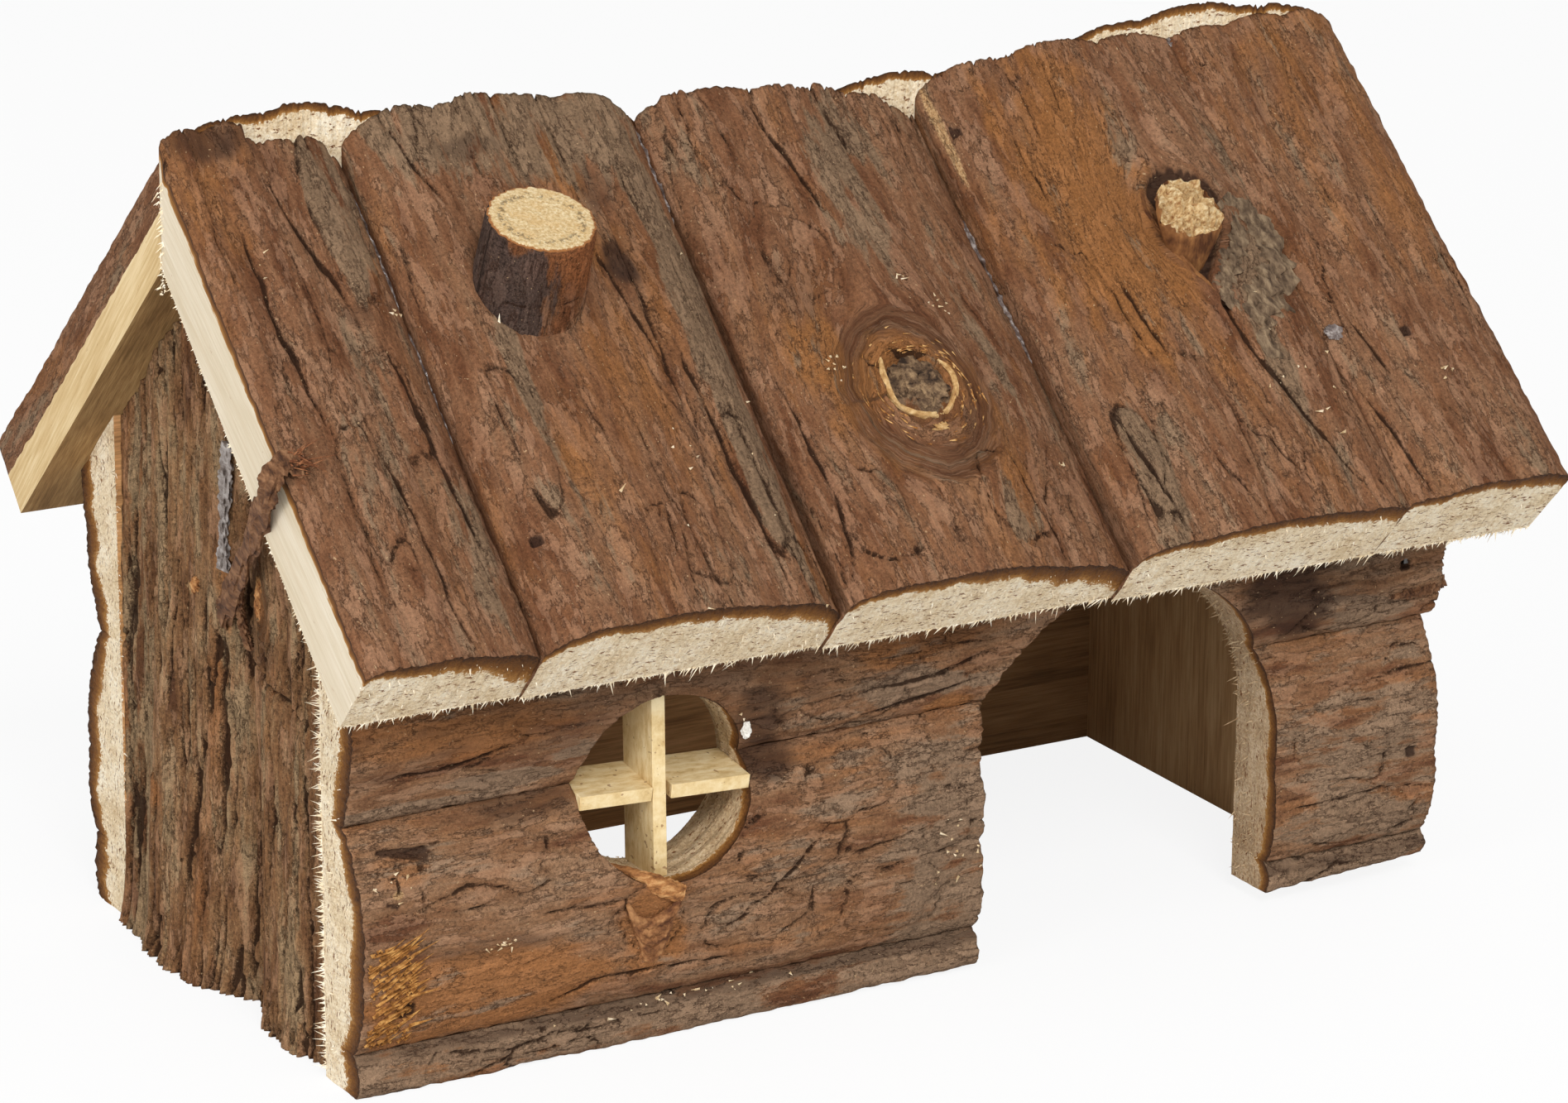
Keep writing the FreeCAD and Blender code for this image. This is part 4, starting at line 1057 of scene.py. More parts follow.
ROOF_STEP = {"front": 0.42, "back": 0.5}
BACK_RAKE_BARKED = 0.45                         # how far down the back panel's left edge is barked
roof = {}
for panel, side, sizes in (("front", -1, front_roof), ("back", 1, back_roof)):
    for number, sizes_here in enumerate(sizes, start=1):
        barked = (1.0 if number > 1 else BACK_RAKE_BARKED * (side > 0), 1.0 * (number < len(sizes)))
        slab = roof_slab(f"roof_{panel}_slab_{number}", side, *sizes_here, ROOF_STEP[panel], barked)
        roof[panel, number] = slab
        lay(slab, "roof_slab_wood", roof_bark, end_grain, rake_wood[side > 0], soffit_painted_shade)


# ---- Broken side branch ---------------------------------------------------------------------------
# The stub of a side branch that leans up the slope out of the fourth slab, one wood with it.  It was
# snapped off, so its top is torn.
def plain_finish(name, tones, stretch=(700.0, 700.0, 700.0), roughness=0.85, specular=0.2, bump=0.0002,
                 places=(0.36, 0.5, 0.64)):
    """One mottled material: its three tones, and how finely it is mottled along each axis."""
    look = Finish(name, roughness, specular)
    tone = look.noise(look.add("ShaderNodeTexCoord").outputs["Object"], stretch, 4.0, 0.65)
    look.colour(look.ramp(tone, *shades(tones, *places)))
    look.bump(tone, bump)
    return look.material


BRANCH_SIDES, BRANCH_RINGS, CAP_RINGS = 120, 40, 14


def unit_branch(name, segments, rings, cap_rings):
    """A round bar on the unit circle, one unit high, its top closed in rings."""
    bm = bmesh.new()
    bmesh.ops.create_circle(bm, segments=segments, radius=1.0)
    rim = list(bm.edges)
    for number in range(rings + cap_rings):
        ring, rim = next_ring(bm, rim)
        if number < rings:
            bmesh.ops.translate(bm, verts=ring, vec=(0, 0, 1 / rings))
        else:
            left = cap_rings - (number - rings)
            bmesh.ops.scale(bm, verts=ring, vec=((left - 0.8) / left, (left - 0.8) / left, 1))
    bmesh.ops.edgeloop_fill(bm, edges=rim)
    bmesh.ops.edgeloop_fill(bm, edges=[e for e in bm.edges if e.is_boundary])
    bmesh.ops.recalc_face_normals(bm, faces=bm.faces)
    return meshed(bm, name)


def grow(name, coat, size, centre, radius, cap_lift, materials, frame_of, slot_name, *replaced):
    """A branch: the unit bar bent to centre(w) and radius(w, angle), with a bark rind and a cut top.
    frame_of turns (x, y, z) in millimetres round the branch's foot into the house's own frame."""
    mesh = unit_branch(name, BRANCH_SIDES, BRANCH_RINGS, CAP_RINGS)
    x, y, w = points_of(mesh).T
    reach, angle = np.hypot(x, y), np.arctan2(y, x)
    index = np.where(middles_of_faces(mesh)[:, 2] > 0.9999, END, BARK)
    r = radius(w, angle)
    p, q = angle * size[0], w * size[1]
    lift, crack, scale_tone, grain, tone = bark(p, q, coat)
    on_cap = w > 0.9999
    worn = 0.7 * ease(w, 0.94, 1.0) * (0.4 + 0.5 * waves(p / 1.5, q / 3, coat.seed + 90))
    full = r + lift - worn
    cx, cy, cz = centre(w)
    px, py = reach * full * np.cos(angle), reach * full * np.sin(angle)
    pz = cz + np.where(on_cap, cap_lift(px, py, reach), 0)
    move_points(mesh, np.stack(frame_of(px + cx, py + cy, pz), 1))
    rind = np.where(on_cap, (1 - reach) * full / 1.1, 0)
    write_fields(mesh, grain=np.column_stack([grain, 0 * w]),
                 field=np.stack([crack, scale_tone, rind - tone[:, PALE]], 1),
                 tone=tone[:, :PALE], core=np.stack([px, pz, py], 1))
    for material in materials:
        mesh.materials.append(material)
    choose_materials(mesh, index)
    mesh.polygons.foreach_set("use_smooth", index == BARK)
    mesh.update()
    piece(name, mesh, slot_name, *replaced)


broken = Finish("broken_wood", 0.85, 0.2)
core = broken.layer("core")
splintered = broken.noise(core, (1.1, 0.5, 1.1), 6.0, 0.7)
stained = broken.band(broken.noise(core, (0.5, 0.5, 0.5), 4.0, 0.6), 0.62, 0.72)
TORN_TONES = ((164, 116, 70), (220, 184, 130), (246, 222, 176))
clean = broken.ramp(splintered, *shades(TORN_TONES, 0.36, 0.5, 0.62))
broken.colour(broken.mix(stained, clean, paint(150, 98, 56)))
broken.bump(splintered, 0.001, 1.0)

STUB_WIDE, STUB_LONG = (0.9, 7.2), (3.4, 7.2)   # half across and half along it, at its foot and its top


def stub_outline(w, angle):
    wide = STUB_WIDE[0] + (STUB_WIDE[1] - STUB_WIDE[0]) * np.clip((w - 0.3) / 0.7, 0, 1) ** 0.7
    long = STUB_LONG[0] + (STUB_LONG[1] - STUB_LONG[0]) * w
    oval = wide * long / np.hypot(long * np.cos(angle), wide * np.sin(angle))
    return oval * (1 + 0.05 * np.sin(2 * angle + 1) + 0.05 * np.sin(3 * angle))


smooth_bark = plain_finish("smooth_bark", ((78, 46, 26), (120, 78, 44), (152, 106, 62)),
                           (420.0, 160.0, 160.0), bump=0.0003)
grow("broken_side_branch", Coat(151, 0.08, (4, 14), 0.2, 0.1, 0.2), (6.5, 16.0),
     lambda w: (69.5 + 0.7 * w, 43.0 - 12.0 * w, 9.0 + 14.6 * w), stub_outline,
     lambda x, y, reach: 2.1 * rough(x / 3.0, y / 3.0, 153, 4) + 1.0 - 1.1 * reach,
     (smooth_bark, broken.material, broken.material), roof["front", 4].place, "roof_slab_wood")


# ---- Chimney --------------------------------------------------------------------------------------
# A length of branch in its bark, sawn square at both ends.  It leans forward and is glued into a
# blind hole in the roof.
CHIMNEY_TOP = (-71.2, -38.0, 155.3)
CHIMNEY_TILT = math.radians(21.8)
CHIMNEY_LENGTH = 27.0
branch_bark = bark_finish(
    "branch_bark",
    ((82, 50, 32), (108, 70, 46), (128, 90, 62)),
    paint(136, 84, 50), paint(70, 60, 56), 0.03, 1.9)


def along_chimney(x, y, z):
    """Round the branch's axis, which leans forward, z up from its foot."""
    up = z - CHIMNEY_LENGTH
    return (CHIMNEY_TOP[0] + x,
            CHIMNEY_TOP[1] + y * math.cos(CHIMNEY_TILT) - up * math.sin(CHIMNEY_TILT),
            CHIMNEY_TOP[2] + y * math.sin(CHIMNEY_TILT) + up * math.cos(CHIMNEY_TILT))


cut = Finish("branch_end_grain", 0.75, 0.25)
core = cut.layer("core")
across, _, out = cut.parts(core)
flat = cut.add("ShaderNodeCombineXYZ", across, 0.0, out).outputs[0]
reach = cut.add("ShaderNodeVectorMath", flat, operation="LENGTH").outputs["Value"]
fine = cut.noise(core, (1.6, 1.6, 1.6), 5.0, 0.7)
wood = cut.ramp(fine, *shades(((190, 152, 100), (220, 192, 142), (240, 222, 184)), 0.34, 0.5, 0.66))
heart = cut.noise(core, (0.25, 0.25, 0.25), 3.0, 0.6)
wood = cut.mix(cut.math("MULTIPLY", cut.band(heart, 0.45, 0.65), 0.35), wood, paint(214, 172, 110))
dashes = cut.math("MULTIPLY", cut.band(reach, 6.3, 7.2), cut.band(reach, 8.6, 7.9))
dashes = cut.math("MULTIPLY", dashes, cut.band(cut.noise(core, (0.7, 0.7, 0.7), 4.0, 0.75), 0.50, 0.56))
wood = cut.mix(cut.math("MULTIPLY", dashes, 0.75), wood, paint(112, 92, 62))
rim = cut.parts(cut.layer("field"))[2]
wood = cut.mix(cut.band(cut.math("MULTIPLY_ADD", fine, 0.9, rim), 0.98, 0.70), wood, paint(160, 104, 56))
cut.colour(wood)
cut.bump(fine, 0.0006, 0.8)
grow("chimney_branch", Coat(157, 0.16, (5, 12), 0.4, 0.25, 0.15,
                            cracks=((0.22, ((-34, 13.5), (-20, 14.5), (-3, 15.5))),),
                            patches=((GREY, -31, 15, 14, 16, 1.2), (DARK, -30, 12, 9, 8, 0.3),
                                     (GREY, 30, 18, 12, 16, 1.2), (DARK, -18, 17, 6, 8, 0.4),
                                     (PALE, -8, 9.5, 5, 4, 0.26), (RUST, -12, 23, 11, 6, 1.0))),
     (10.7, 27.0), lambda w: (0 * w, 0 * w, CHIMNEY_LENGTH * w),
     lambda w, angle: 11.2 - 0.7 * w + 0.12 * np.sin(2 * angle),
     lambda x, y, reach: 0.08 * rough(x / 1.4, y / 1.4, 159, 3) - 0.25 * ease(reach, 0.93, 1.0),
     (branch_bark, cut.material, cut.material), along_chimney, "branch_wood", "chimney_branch")


# ---- Saw fuzz -------------------------------------------------------------------------------------
# The blade left a fringe of torn wood fibres on the lower edge of each cut and a fur on the end
# grain.  They still hang on the slabs.
def splinters(name, feet, ways, widths, material, slot_name):
    """Many splinters in one piece, each a three-sided point that stands on its foot."""
    bm = bmesh.new()
    for foot, way, width in zip(feet, ways, widths):
        foot, way = Vector(foot) * MM, Vector(way) * MM
        lie = Matrix.Translation(foot + way / 2) @ way.to_track_quat("Z", "X").to_matrix().to_4x4()
        bmesh.ops.create_cone(bm, cap_ends=True, segments=3, radius1=width * MM, radius2=0.0,
                              depth=way.length, matrix=lie)
    mesh = meshed(bm, name)
    mesh.materials.append(material)
    piece(name, mesh, slot_name)


def fringe(count, feet, way, longest, seed, scatter=0.35, thick=0.20):
    """Feet, ways and widths of splinters at feet(share, random) that lean about one way."""
    random = np.random.default_rng(seed)
    lengths = 0.4 + (longest - 0.4) * random.random(count) ** 2.4
    ways = (np.asarray(way) + scatter * random.normal(size=(count, 3))) * lengths[:, None]
    return feet(random.random(count), random), ways, thick * (0.7 + 0.6 * random.random(count))


UP_OUT = np.array((0.0, -math.sin(ROOF_PITCH), math.cos(ROOF_PITCH)))   # square out of the front panel
DOWN_SLOPE = np.array((0.0, -math.cos(ROOF_PITCH), -math.sin(ROOF_PITCH)))
fur = plain_finish("torn_fibres", ((228, 206, 168), (244, 230, 202), (252, 244, 226)))
for number in range(1, len(front_roof) + 1):
    slab = roof["front", number]
    foot = SOFFIT_LENGTH + front_roof[number - 1][2]
    first, last = (float(v[0]) for v in slab.edges(np.array([foot]))[:2])

    def lower_edge(share, random):
        x = first + (last - first) * share
        return np.stack(slab.place(x, foot - 0.2 * random.random(len(x)), 0.25 + 0 * x), 1)

    def end_face(share, random):
        x = first + (last - first) * share
        height = round_height(slab, x, 0 * x + foot)
        return np.stack(slab.place(x, foot - 0.35 + 0 * x, 0.3 + (height - 3) * random.random(len(x))), 1)

    wide = last - first
    splinters(f"eave_fringe_{number}", *fringe(round(7 * wide), lower_edge, -UP_OUT, 2.3, 210 + number),
              fur, "roof_slab_wood")
    splinters(f"eave_fur_{number}",
              *fringe(round(8 * wide), end_face, 0.4 * DOWN_SLOPE - 0.8 * UP_OUT, 1.3, 220 + number),
              fur, "roof_slab_wood")


def upright_edge(x, y, top):
    return lambda share, random: np.stack([0 * share + x, 0 * share + y, 1.5 + (top - 1.5) * share], 1)


def corner_end(share, random):
    return np.stack([0 * share - 121.4, -47.3 - 8.5 * random.random(len(share)), 2 + 95 * share], 1)


def rake_edge(share, random):
    down = np.outer(SOFFIT_LENGTH * share, DOWN_SLOPE)
    return np.array((-129.8, 0.0, SOFFIT_RIDGE_Z)) + down + 0.15 * UP_OUT


def apex_edge(share, random):
    return np.stack([0 * share - 129.9, 1.0 - 2.4 * random.random(len(share)), 139 + 22 * share], 1)


for name, count, feet, way, longest, seed, slot_name in (
        ("front_corner_fringe", 700, upright_edge(-121.6, -47.2, 93.0), (-0.5, 0.8, -0.15), 2.4, 231,
         "wall_slab_wood"),
        ("back_corner_fringe", 200, upright_edge(-121.6, 44.2, 93.0), (-0.5, -0.8, -0.15), 1.8, 232,
         "wall_slab_wood"),
        ("front_corner_fur", 900, corner_end, (-0.35, 0.7, -0.2), 1.4, 233, "wall_slab_wood"),
        ("apex_fringe", 90, apex_edge, (-0.35, 0.5, -0.6), 2.4, 238, "roof_slab_wood"),
        ("rake_fringe", 330, rake_edge, -0.8 * UP_OUT - (0.4, 0, 0), 0.9, 234, "roof_slab_wood")):
    splinters(name, *fringe(count, feet, way, longest, seed), fur, slot_name)

torn = plain_finish("torn_grey_fibres", ((136, 110, 80), (172, 146, 112), (204, 180, 146)))


def door_edge(share, random):
    x, z = door_outline(-0.51 + 1.95 * share)
    return np.stack([x + 0.2, -47.3 - 9.0 * random.random(len(share)) ** 2, z], 1)


splinters("door_fringe", *fringe(700, door_edge, (-0.55, 0.3, -0.45), 2.2, 235), torn, "wall_slab_wood")


def window_edge(share, random):
    x, z = window_outline(-2.6 + 3.6 * share)
    return np.stack([x, -47.3 - 8.0 * random.random(len(share)), z], 1)


splinters("window_fringe", *fringe(300, window_edge, (-0.4, 0.0, 0.3), 1.3, 236), torn, "wall_slab_wood")


# ---- Healed knot ----------------------------------------------------------------------------------
# A dead knot in the third slab: a plug of grey wood, half ringed by the pale wood that grew round it,
# with coarse fibres lying round both.
def along_path(points, w):
    """A smooth path through some points, w from 0 to 1."""
    points = np.asarray(points, float)
    points = np.vstack([2 * points[0] - points[1], points, 2 * points[-1] - points[-2]])
    at = np.clip(w, 0, 1) * (len(points) - 3)
    i = np.minimum(at.astype(int), len(points) - 4)
    t = (at - i)[:, None]
    a, b, c, d = (points[i + k] for k in range(4))
    return 0.5 * (2 * b + (c - a) * t + (2 * a - 5 * b + 4 * c - d) * t**2 + (3 * b - a - 3 * c + d) * t**3)


BAR_SIDES, BAR_RINGS, BAR_CAP_RINGS = 20, 60, 3


def bend(name, points, out, wide, thick, material, slot_name, seed, rugged=0.12):
    """A round bar along a path, wide(w) across it and thick(w) towards out."""
    mesh = unit_branch(name, BAR_SIDES, BAR_RINGS, BAR_CAP_RINGS)
    x, y, w = points_of(mesh).T
    ahead = along_path(points, np.minimum(w + 0.01, 1)) - along_path(points, np.maximum(w - 0.01, 0))
    ahead /= np.linalg.norm(ahead, axis=1)[:, None]
    side = np.cross(ahead, out)
    side /= np.linalg.norm(side, axis=1)[:, None]
    rugged = 1 + rugged * 2 * rough(np.arctan2(y, x) * 1.5, w * BAR_RINGS / 4, seed, 3)
    co = along_path(points, w) + side * (x * wide(w) * rugged)[:, None]
    co += np.cross(side, ahead) * (y * thick(w) * rugged)[:, None]
    move_points(mesh, co)
    mesh.materials.append(material)
    piece(name, mesh, slot_name)


def swell(least, more, power=1):
    """A bar's width or thickness, greatest in its middle, or the same all along where more is 0."""
    return lambda w: least + more * np.sin(np.pi * w) ** power


def on_bark(slab, places, above=0.0):
    """Points on a slab's bark, from where they are across and along it."""
    p, q = np.asarray(places, float).T
    return np.stack(slab.place(p, q, slab_height(slab, p, q)[0] + above), 1)


def lump(name, centre, size, axes, seed, rugged, material, slot_name):
    """A rough lump; size and axes are its three half sizes and their directions."""
    bm = bmesh.new()
    bmesh.ops.create_icosphere(bm, subdivisions=5, radius=1.0)
    mesh = meshed(bm, name)
    co = points_of(mesh)
    turn = np.arctan2(co[:, 1], co[:, 0])
    uneven = rough(turn * 2 + 9, co[:, 2] * 2 + 9, seed, 4)
    uneven = uneven + rough(co[:, 0] * 3 + 9, co[:, 1] * 3 + 9, seed + 5, 4)
    co = co * (1 + rugged * uneven)[:, None] * size
    move_points(mesh, np.asarray(centre) + co @ np.asarray(axes))
    mesh.materials.append(material)
    piece(name, mesh, slot_name)


ACROSS = np.array((1.0, 0.0, 0.0))
ON_ROOF = (ACROSS, DOWN_SLOPE, UP_OUT)
callus = plain_finish("callus_wood", ((156, 116, 70), (188, 150, 98), (214, 182, 132)),
                      (500.0, 500.0, 500.0))
plug_wood = plain_finish("dead_knot_wood", ((46, 33, 24), (98, 76, 56), (152, 124, 92)),
                         (420.0, 420.0, 420.0), bump=0.0008, places=(0.38, 0.5, 0.64))
knotty = roof["front", 3]
ring_path = on_bark(knotty, ((-7.2, 52.0), (-8.5, 56.6), (-7.3, 61.8), (-3.0, 65.0), (2.6, 64.4),
                             (6.2, 60.4), (6.6, 56.6), (4.8, 53.8)))
bend("knot_callus_ring", ring_path, UP_OUT,
     lambda w: 0.25 + 0.5 * np.sin(np.pi * w) ** 0.6 * (1.3 - 0.6 * w), swell(0.3, 0.6, 0.6),
     callus, "roof_slab_wood", seed=241)
plug_centre = on_bark(knotty, ((-1.0, 58.2),), -0.3)[0]
lump("knot_plug", plug_centre, (6.4, 5.9, 1.7), ON_ROOF, 243, 0.22, plug_wood, "roof_slab_wood")
random = np.random.default_rng(247)
turn, away = random.random(150) * 2 * np.pi, 8.4 + 6.0 * random.random(150) ** 1.5
feet = on_bark(knotty, np.stack([-1.0 + away * np.cos(turn), 59.0 + 0.95 * away * np.sin(turn)], 1), 0.05)
round_it = np.outer(-np.sin(turn), ACROSS) + np.outer(np.cos(turn), DOWN_SLOPE)
ways = round_it + 0.12 * random.normal(size=(150, 3))
ring_fibres = plain_finish("ring_fibres", ((132, 82, 40), (172, 120, 66), (214, 172, 112)),
                           places=(0.40, 0.5, 0.62))
splinters("knot_ring_fibres", feet, ways * (0.8 + 1.8 * random.random((150, 1))),
          0.14 + 0.12 * random.random(150), ring_fibres, "roof_slab_wood")
lump("knot_scab", on_bark(knotty, ((-0.6, 68.6),))[0], (1.9, 1.2, 0.7), ON_ROOF, 245, 0.3, callus,
     "roof_slab_wood")


# ---- Collar of the side branch --------------------------------------------------------------------
# The wood that grew round the side branch: a rough grey roll on its right and below it, and a thin
# golden lip on its left.
branchy = roof["front", 4]
grey_roll = plain_finish("collar_wood", ((72, 56, 42), (108, 88, 68), (142, 120, 94)),
                         (700.0, 260.0, 260.0), bump=0.0007)
bend("collar_roll",
     on_bark(branchy, ((83.6, 26.0), (87.2, 31.5), (88.6, 39.0), (86.4, 46.0), (81.5, 51.0),
                       (78.0, 57.0), (77.0, 64.0)), -0.5),
     UP_OUT, lambda w: 0.8 + 3.2 * np.sin(np.pi * (0.1 + 0.8 * w)),
     lambda w: 0.4 + 1.1 * np.sin(np.pi * (0.1 + 0.8 * w)),
     grey_roll, "roof_slab_wood", seed=311, rugged=0.42)
bend("collar_inner_roll",
     on_bark(branchy, ((84.0, 29.0), (82.0, 36.0), (77.5, 42.0), (73.5, 46.5), (74.5, 53.0)), -0.4),
     UP_OUT, swell(0.8, 1.4), swell(0.4, 0.9), grey_roll, "roof_slab_wood", seed=313, rugged=0.35)
bend("collar_lip",
     on_bark(branchy, ((66.6, 19.0), (64.6, 26.0), (65.4, 34.0), (67.8, 41.0), (71.4, 47.6)), -0.2),
     UP_OUT, swell(0.3, 0.5), swell(0.2, 0.4), smooth_bark, "roof_slab_wood", seed=315, rugged=0.3)


# ---- Knot under the window ------------------------------------------------------------------------
# The window was sawn through a knot in the middle slab.  A tan tongue of its wood is left at the
# lower edge, over the folds in which the bark had grown round it.
tan_wood = plain_finish("tan_knot_wood", ((112, 70, 40), (164, 112, 66), (202, 154, 102)),
                        (260.0, 700.0, 700.0), bump=0.0005)
fold_wood = plain_finish("folded_knot_wood", ((88, 54, 34), (134, 90, 56), (168, 122, 80)),
                         (300.0, 700.0, 500.0), bump=0.0003)
bend("window_knot_tongue",
     ((-70.8, -58.6, 36.6), (-67.0, -60.8, 35.2), (-63.0, -62.6, 33.2), (-59.6, -63.8, 31.4),
      (-56.4, -63.9, 29.9)),
     (0.0, -1.0, 0.2), lambda w: 0.7 + 1.2 * ease(w, 0.1, 0.7), lambda w: 0.7 + 1.1 * ease(w, 0.0, 0.8),
     tan_wood, "wall_slab_wood", seed=251, rugged=0.08)
middle_slab = front_wall[1][0]
for number in range(5):
    low = 25.2 - 1.8 * number
    fold = ((low + 4.8, -68.0 + 0.9 * number), (low + 1.2, -66.0 + 0.6 * number), (low, -62.4),
            (low + 1.6, -58.6 - 0.5 * number), (low + 4.6, -56.4 - 0.7 * number))
    bend(f"window_knot_fold_{number + 1}", on_bark(middle_slab, fold, 0.8 - 0.22 * number),
         (0.0, -1.0, 0.0), swell(0.4, 0.7), swell(0.3, 0.9),
         fold_wood, "wall_slab_wood", seed=253 + number, rugged=0.12)


# ---- Torn strip of bark ---------------------------------------------------------------------------
# A strip of inner bark that came loose from the gable and hangs over the left edge of the roof, torn
# to fibres at its upper end, and the scars of two twigs on the gable.
strip = plain_finish("inner_bark", ((66, 42, 28), (106, 72, 48), (140, 102, 72)),
                     (900.0, 140.0, 420.0), bump=0.0006)
strip_path = ((-117.0, 3.0, 72.5), (-119.6, -0.5, 75.6), (-123.5, -15.8, 87.6), (-129.0, -35.9, 102.8),
              (-132.4, -49.0, 113.5), (-132.8, -51.6, 117.6), (-131.0, -52.4, 120.6),
              (-127.6, -53.2, 121.4))
OFF_GABLE = (-1.0, -0.3, 0.2)
for name, path, wide, thick, seed in (
        ("bark_strip", strip_path, lambda w: 2.6 - 0.6 * np.abs(2 * w - 1) ** 2, 0.9, 261),
        ("bark_strip_side",
         ((-118.0, -9.0, 71.5), (-119.5, -9.5, 76.0), (-121.6, -12.5, 81.5), (-123.6, -17.5, 88.0)),
         lambda w: 1.1 - 0.3 * w, 0.7, 263),
        ("bark_strip_foot",
         ((-117.0, 12.0, 73.0), (-118.6, 6.0, 76.0), (-120.8, -4.0, 80.0), (-123.4, -15.0, 87.0)),
         lambda w: 1.3 - 0.3 * w, 0.7, 264)):
    bend(name, path, OFF_GABLE, wide, swell(thick, 0), strip, "roof_slab_wood", seed, rugged=0.3)
rust_fibres = plain_finish("rust_fibres", ((84, 48, 30), (122, 74, 46), (158, 106, 70)))


def torn_end(share, random):
    return strip_path[-1] + np.stack([3 * share - 2.5, 1.2 * random.normal(size=len(share)),
                                      0.8 * random.normal(size=len(share))], 1)


splinters("bark_strip_fibres", *fringe(70, torn_end, (0.8, -0.3, 0.25), 5.0, 265, 0.45, 0.24),
          rust_fibres, "roof_slab_wood")
for number, (slab, place, size) in enumerate(((left_gable[0], (-21.0, 85.6), (1.7, 4.2, 0.8)),
                                              (left_gable[1], (8.3, 79.6), (1.5, 1.7, 0.7))), start=1):
    lump(f"gable_scar_{number}", on_bark(slab, (place,))[0], size, ((0, 1, 0), (0, -0.2, 1), (-1, 0, 0)),
         267 + number, 0.25, tan_wood, "wall_slab_wood")


# ---- Loose chips and splinters --------------------------------------------------------------------
# Golden fibres stand up where the corner of the front wall was torn.  Pale chips cling to the bark
# and to the chimney's foot, and a sliver of bark to the wall's right end.
golden = plain_finish("golden_fibres", ((112, 72, 34), (164, 112, 56), (204, 156, 90)))


def torn_corner(share, random):
    places = np.stack([10 + 20 * share, -120.8 + 9 * random.random(len(share))], 1)
    return on_bark(middle_slab, places, 0.1)


splinters("corner_splinters", *fringe(260, torn_corner, (0.75, -0.10, 0.42), 8.0, 271, 0.10, 0.55),
          golden, "wall_slab_wood")
chips = []
for slab, centre, spread, count in (
        (middle_slab, (26.7, -93.0), (0.5, 3.6), 11), (middle_slab, (41.0, -114.0), (2.2, 2.4), 7),
        (front_wall[0][0], (7.2, -52.0), (0.7, 12.0), 22), (middle_slab, (26.0, 5.0), (6.0, 3.0), 16),
        (front_wall[2][0], (61.0, -41.0), (0.5, 0.5), 2), (roof["front", 3], (-16.0, 51.0), (1.0, 1.4), 10),
        (roof["front", 3], (12.7, 39.5), (1.6, 1.2), 8), (roof["front", 3], (25.1, 76.6), (0.7, 0.5), 3),
        (roof["front", 3], (6.4, 33.5), (1.4, 0.6), 4), (roof["front", 2], (-50.0, 70.0), (12.0, 16.0), 14),
        (roof["front", 4], (80.0, 60.0), (4.0, 9.0), 14), (roof["front", 5], (112.0, 74.0), (1.2, 1.6), 7),
        (roof["front", 1], (-119.6, 11.8), (0.5, 1.6), 3), (roof["front", 1], (-95.6, 24.5), (1.0, 0.6), 6)):
    random = np.random.default_rng(round(abs(centre[0] * 7 + centre[1])))
    chips.append(on_bark(slab, centre + random.normal(size=(count, 2)) * spread, 0.1))
chips = np.concatenate(chips)
bend("wall_bark_sliver",
     ((108.0, -59.0, 61.0), (114.0, -59.2, 61.0), (118.5, -58.8, 61.4), (121.6, -57.6, 62.2)),
     (0.0, -1.0, 0.0), lambda w: 0.6 + 1.0 * w, swell(0.8, 0),
     strip, "wall_slab_wood", seed=283, rugged=0.3)
random = np.random.default_rng(281)
pale = plain_finish("pale_chips", ((186, 154, 110), (216, 192, 152), (238, 222, 194)))
splinters("pale_chips", chips, random.normal(size=chips.shape) * (0.8, 0.4, 0.6),
          0.20 + 0.2 * random.random(len(chips)), pale, "roof_slab_wood")
at_foot = np.array([along_chimney(11.2 * math.cos(a), 11.2 * math.sin(a), up) for a, up in
                    ((-2.45, 7.5), (-2.38, 6.8), (-1.30, 5.0), (-1.15, 5.6), (-1.02, 6.0), (-1.62, 5.2),
                     (-0.95, 7.0))])
splinters("chimney_splinters", at_foot,
          ((-0.4, -1.0, 4.2), (0.5, -1.0, 2.4), (1.6, -1.2, 0.8), (2.2, -0.8, 1.2), (1.4, -1.0, 2.4),
           (-1.6, -1.4, 0.3), (0.8, -1.0, 2.0)),
          (0.7, 0.5, 0.5, 0.55, 0.5, 0.4, 0.4), fur, "branch_wood")


# ---- Glue -----------------------------------------------------------------------------------------
# Hot glue that was squeezed out of the joints between the slabs, or dripped on them.  It is clear
# to milky once it has set.
glue = plain_finish("set_glue", ((76, 62, 56), (108, 94, 88), (160, 150, 144)),
                    (500.0, 500.0, 500.0), 0.28, 0.6, 0.0003)


def seam(left, share_of_slope):
    """Places down the seam between a front slab and the next."""
    slab = roof["front", left]
    q = -RIDGE_OVERRUN + (SOFFIT_LENGTH + RIDGE_OVERRUN) * np.asarray(share_of_slope)
    x = slab.edges(q)[1]
    out = np.minimum(slab_height(slab, x, q)[0], slab_height(roof["front", left + 1], x, q)[0])
    return np.stack(slab.place(x, q, out + 0.1), 1)


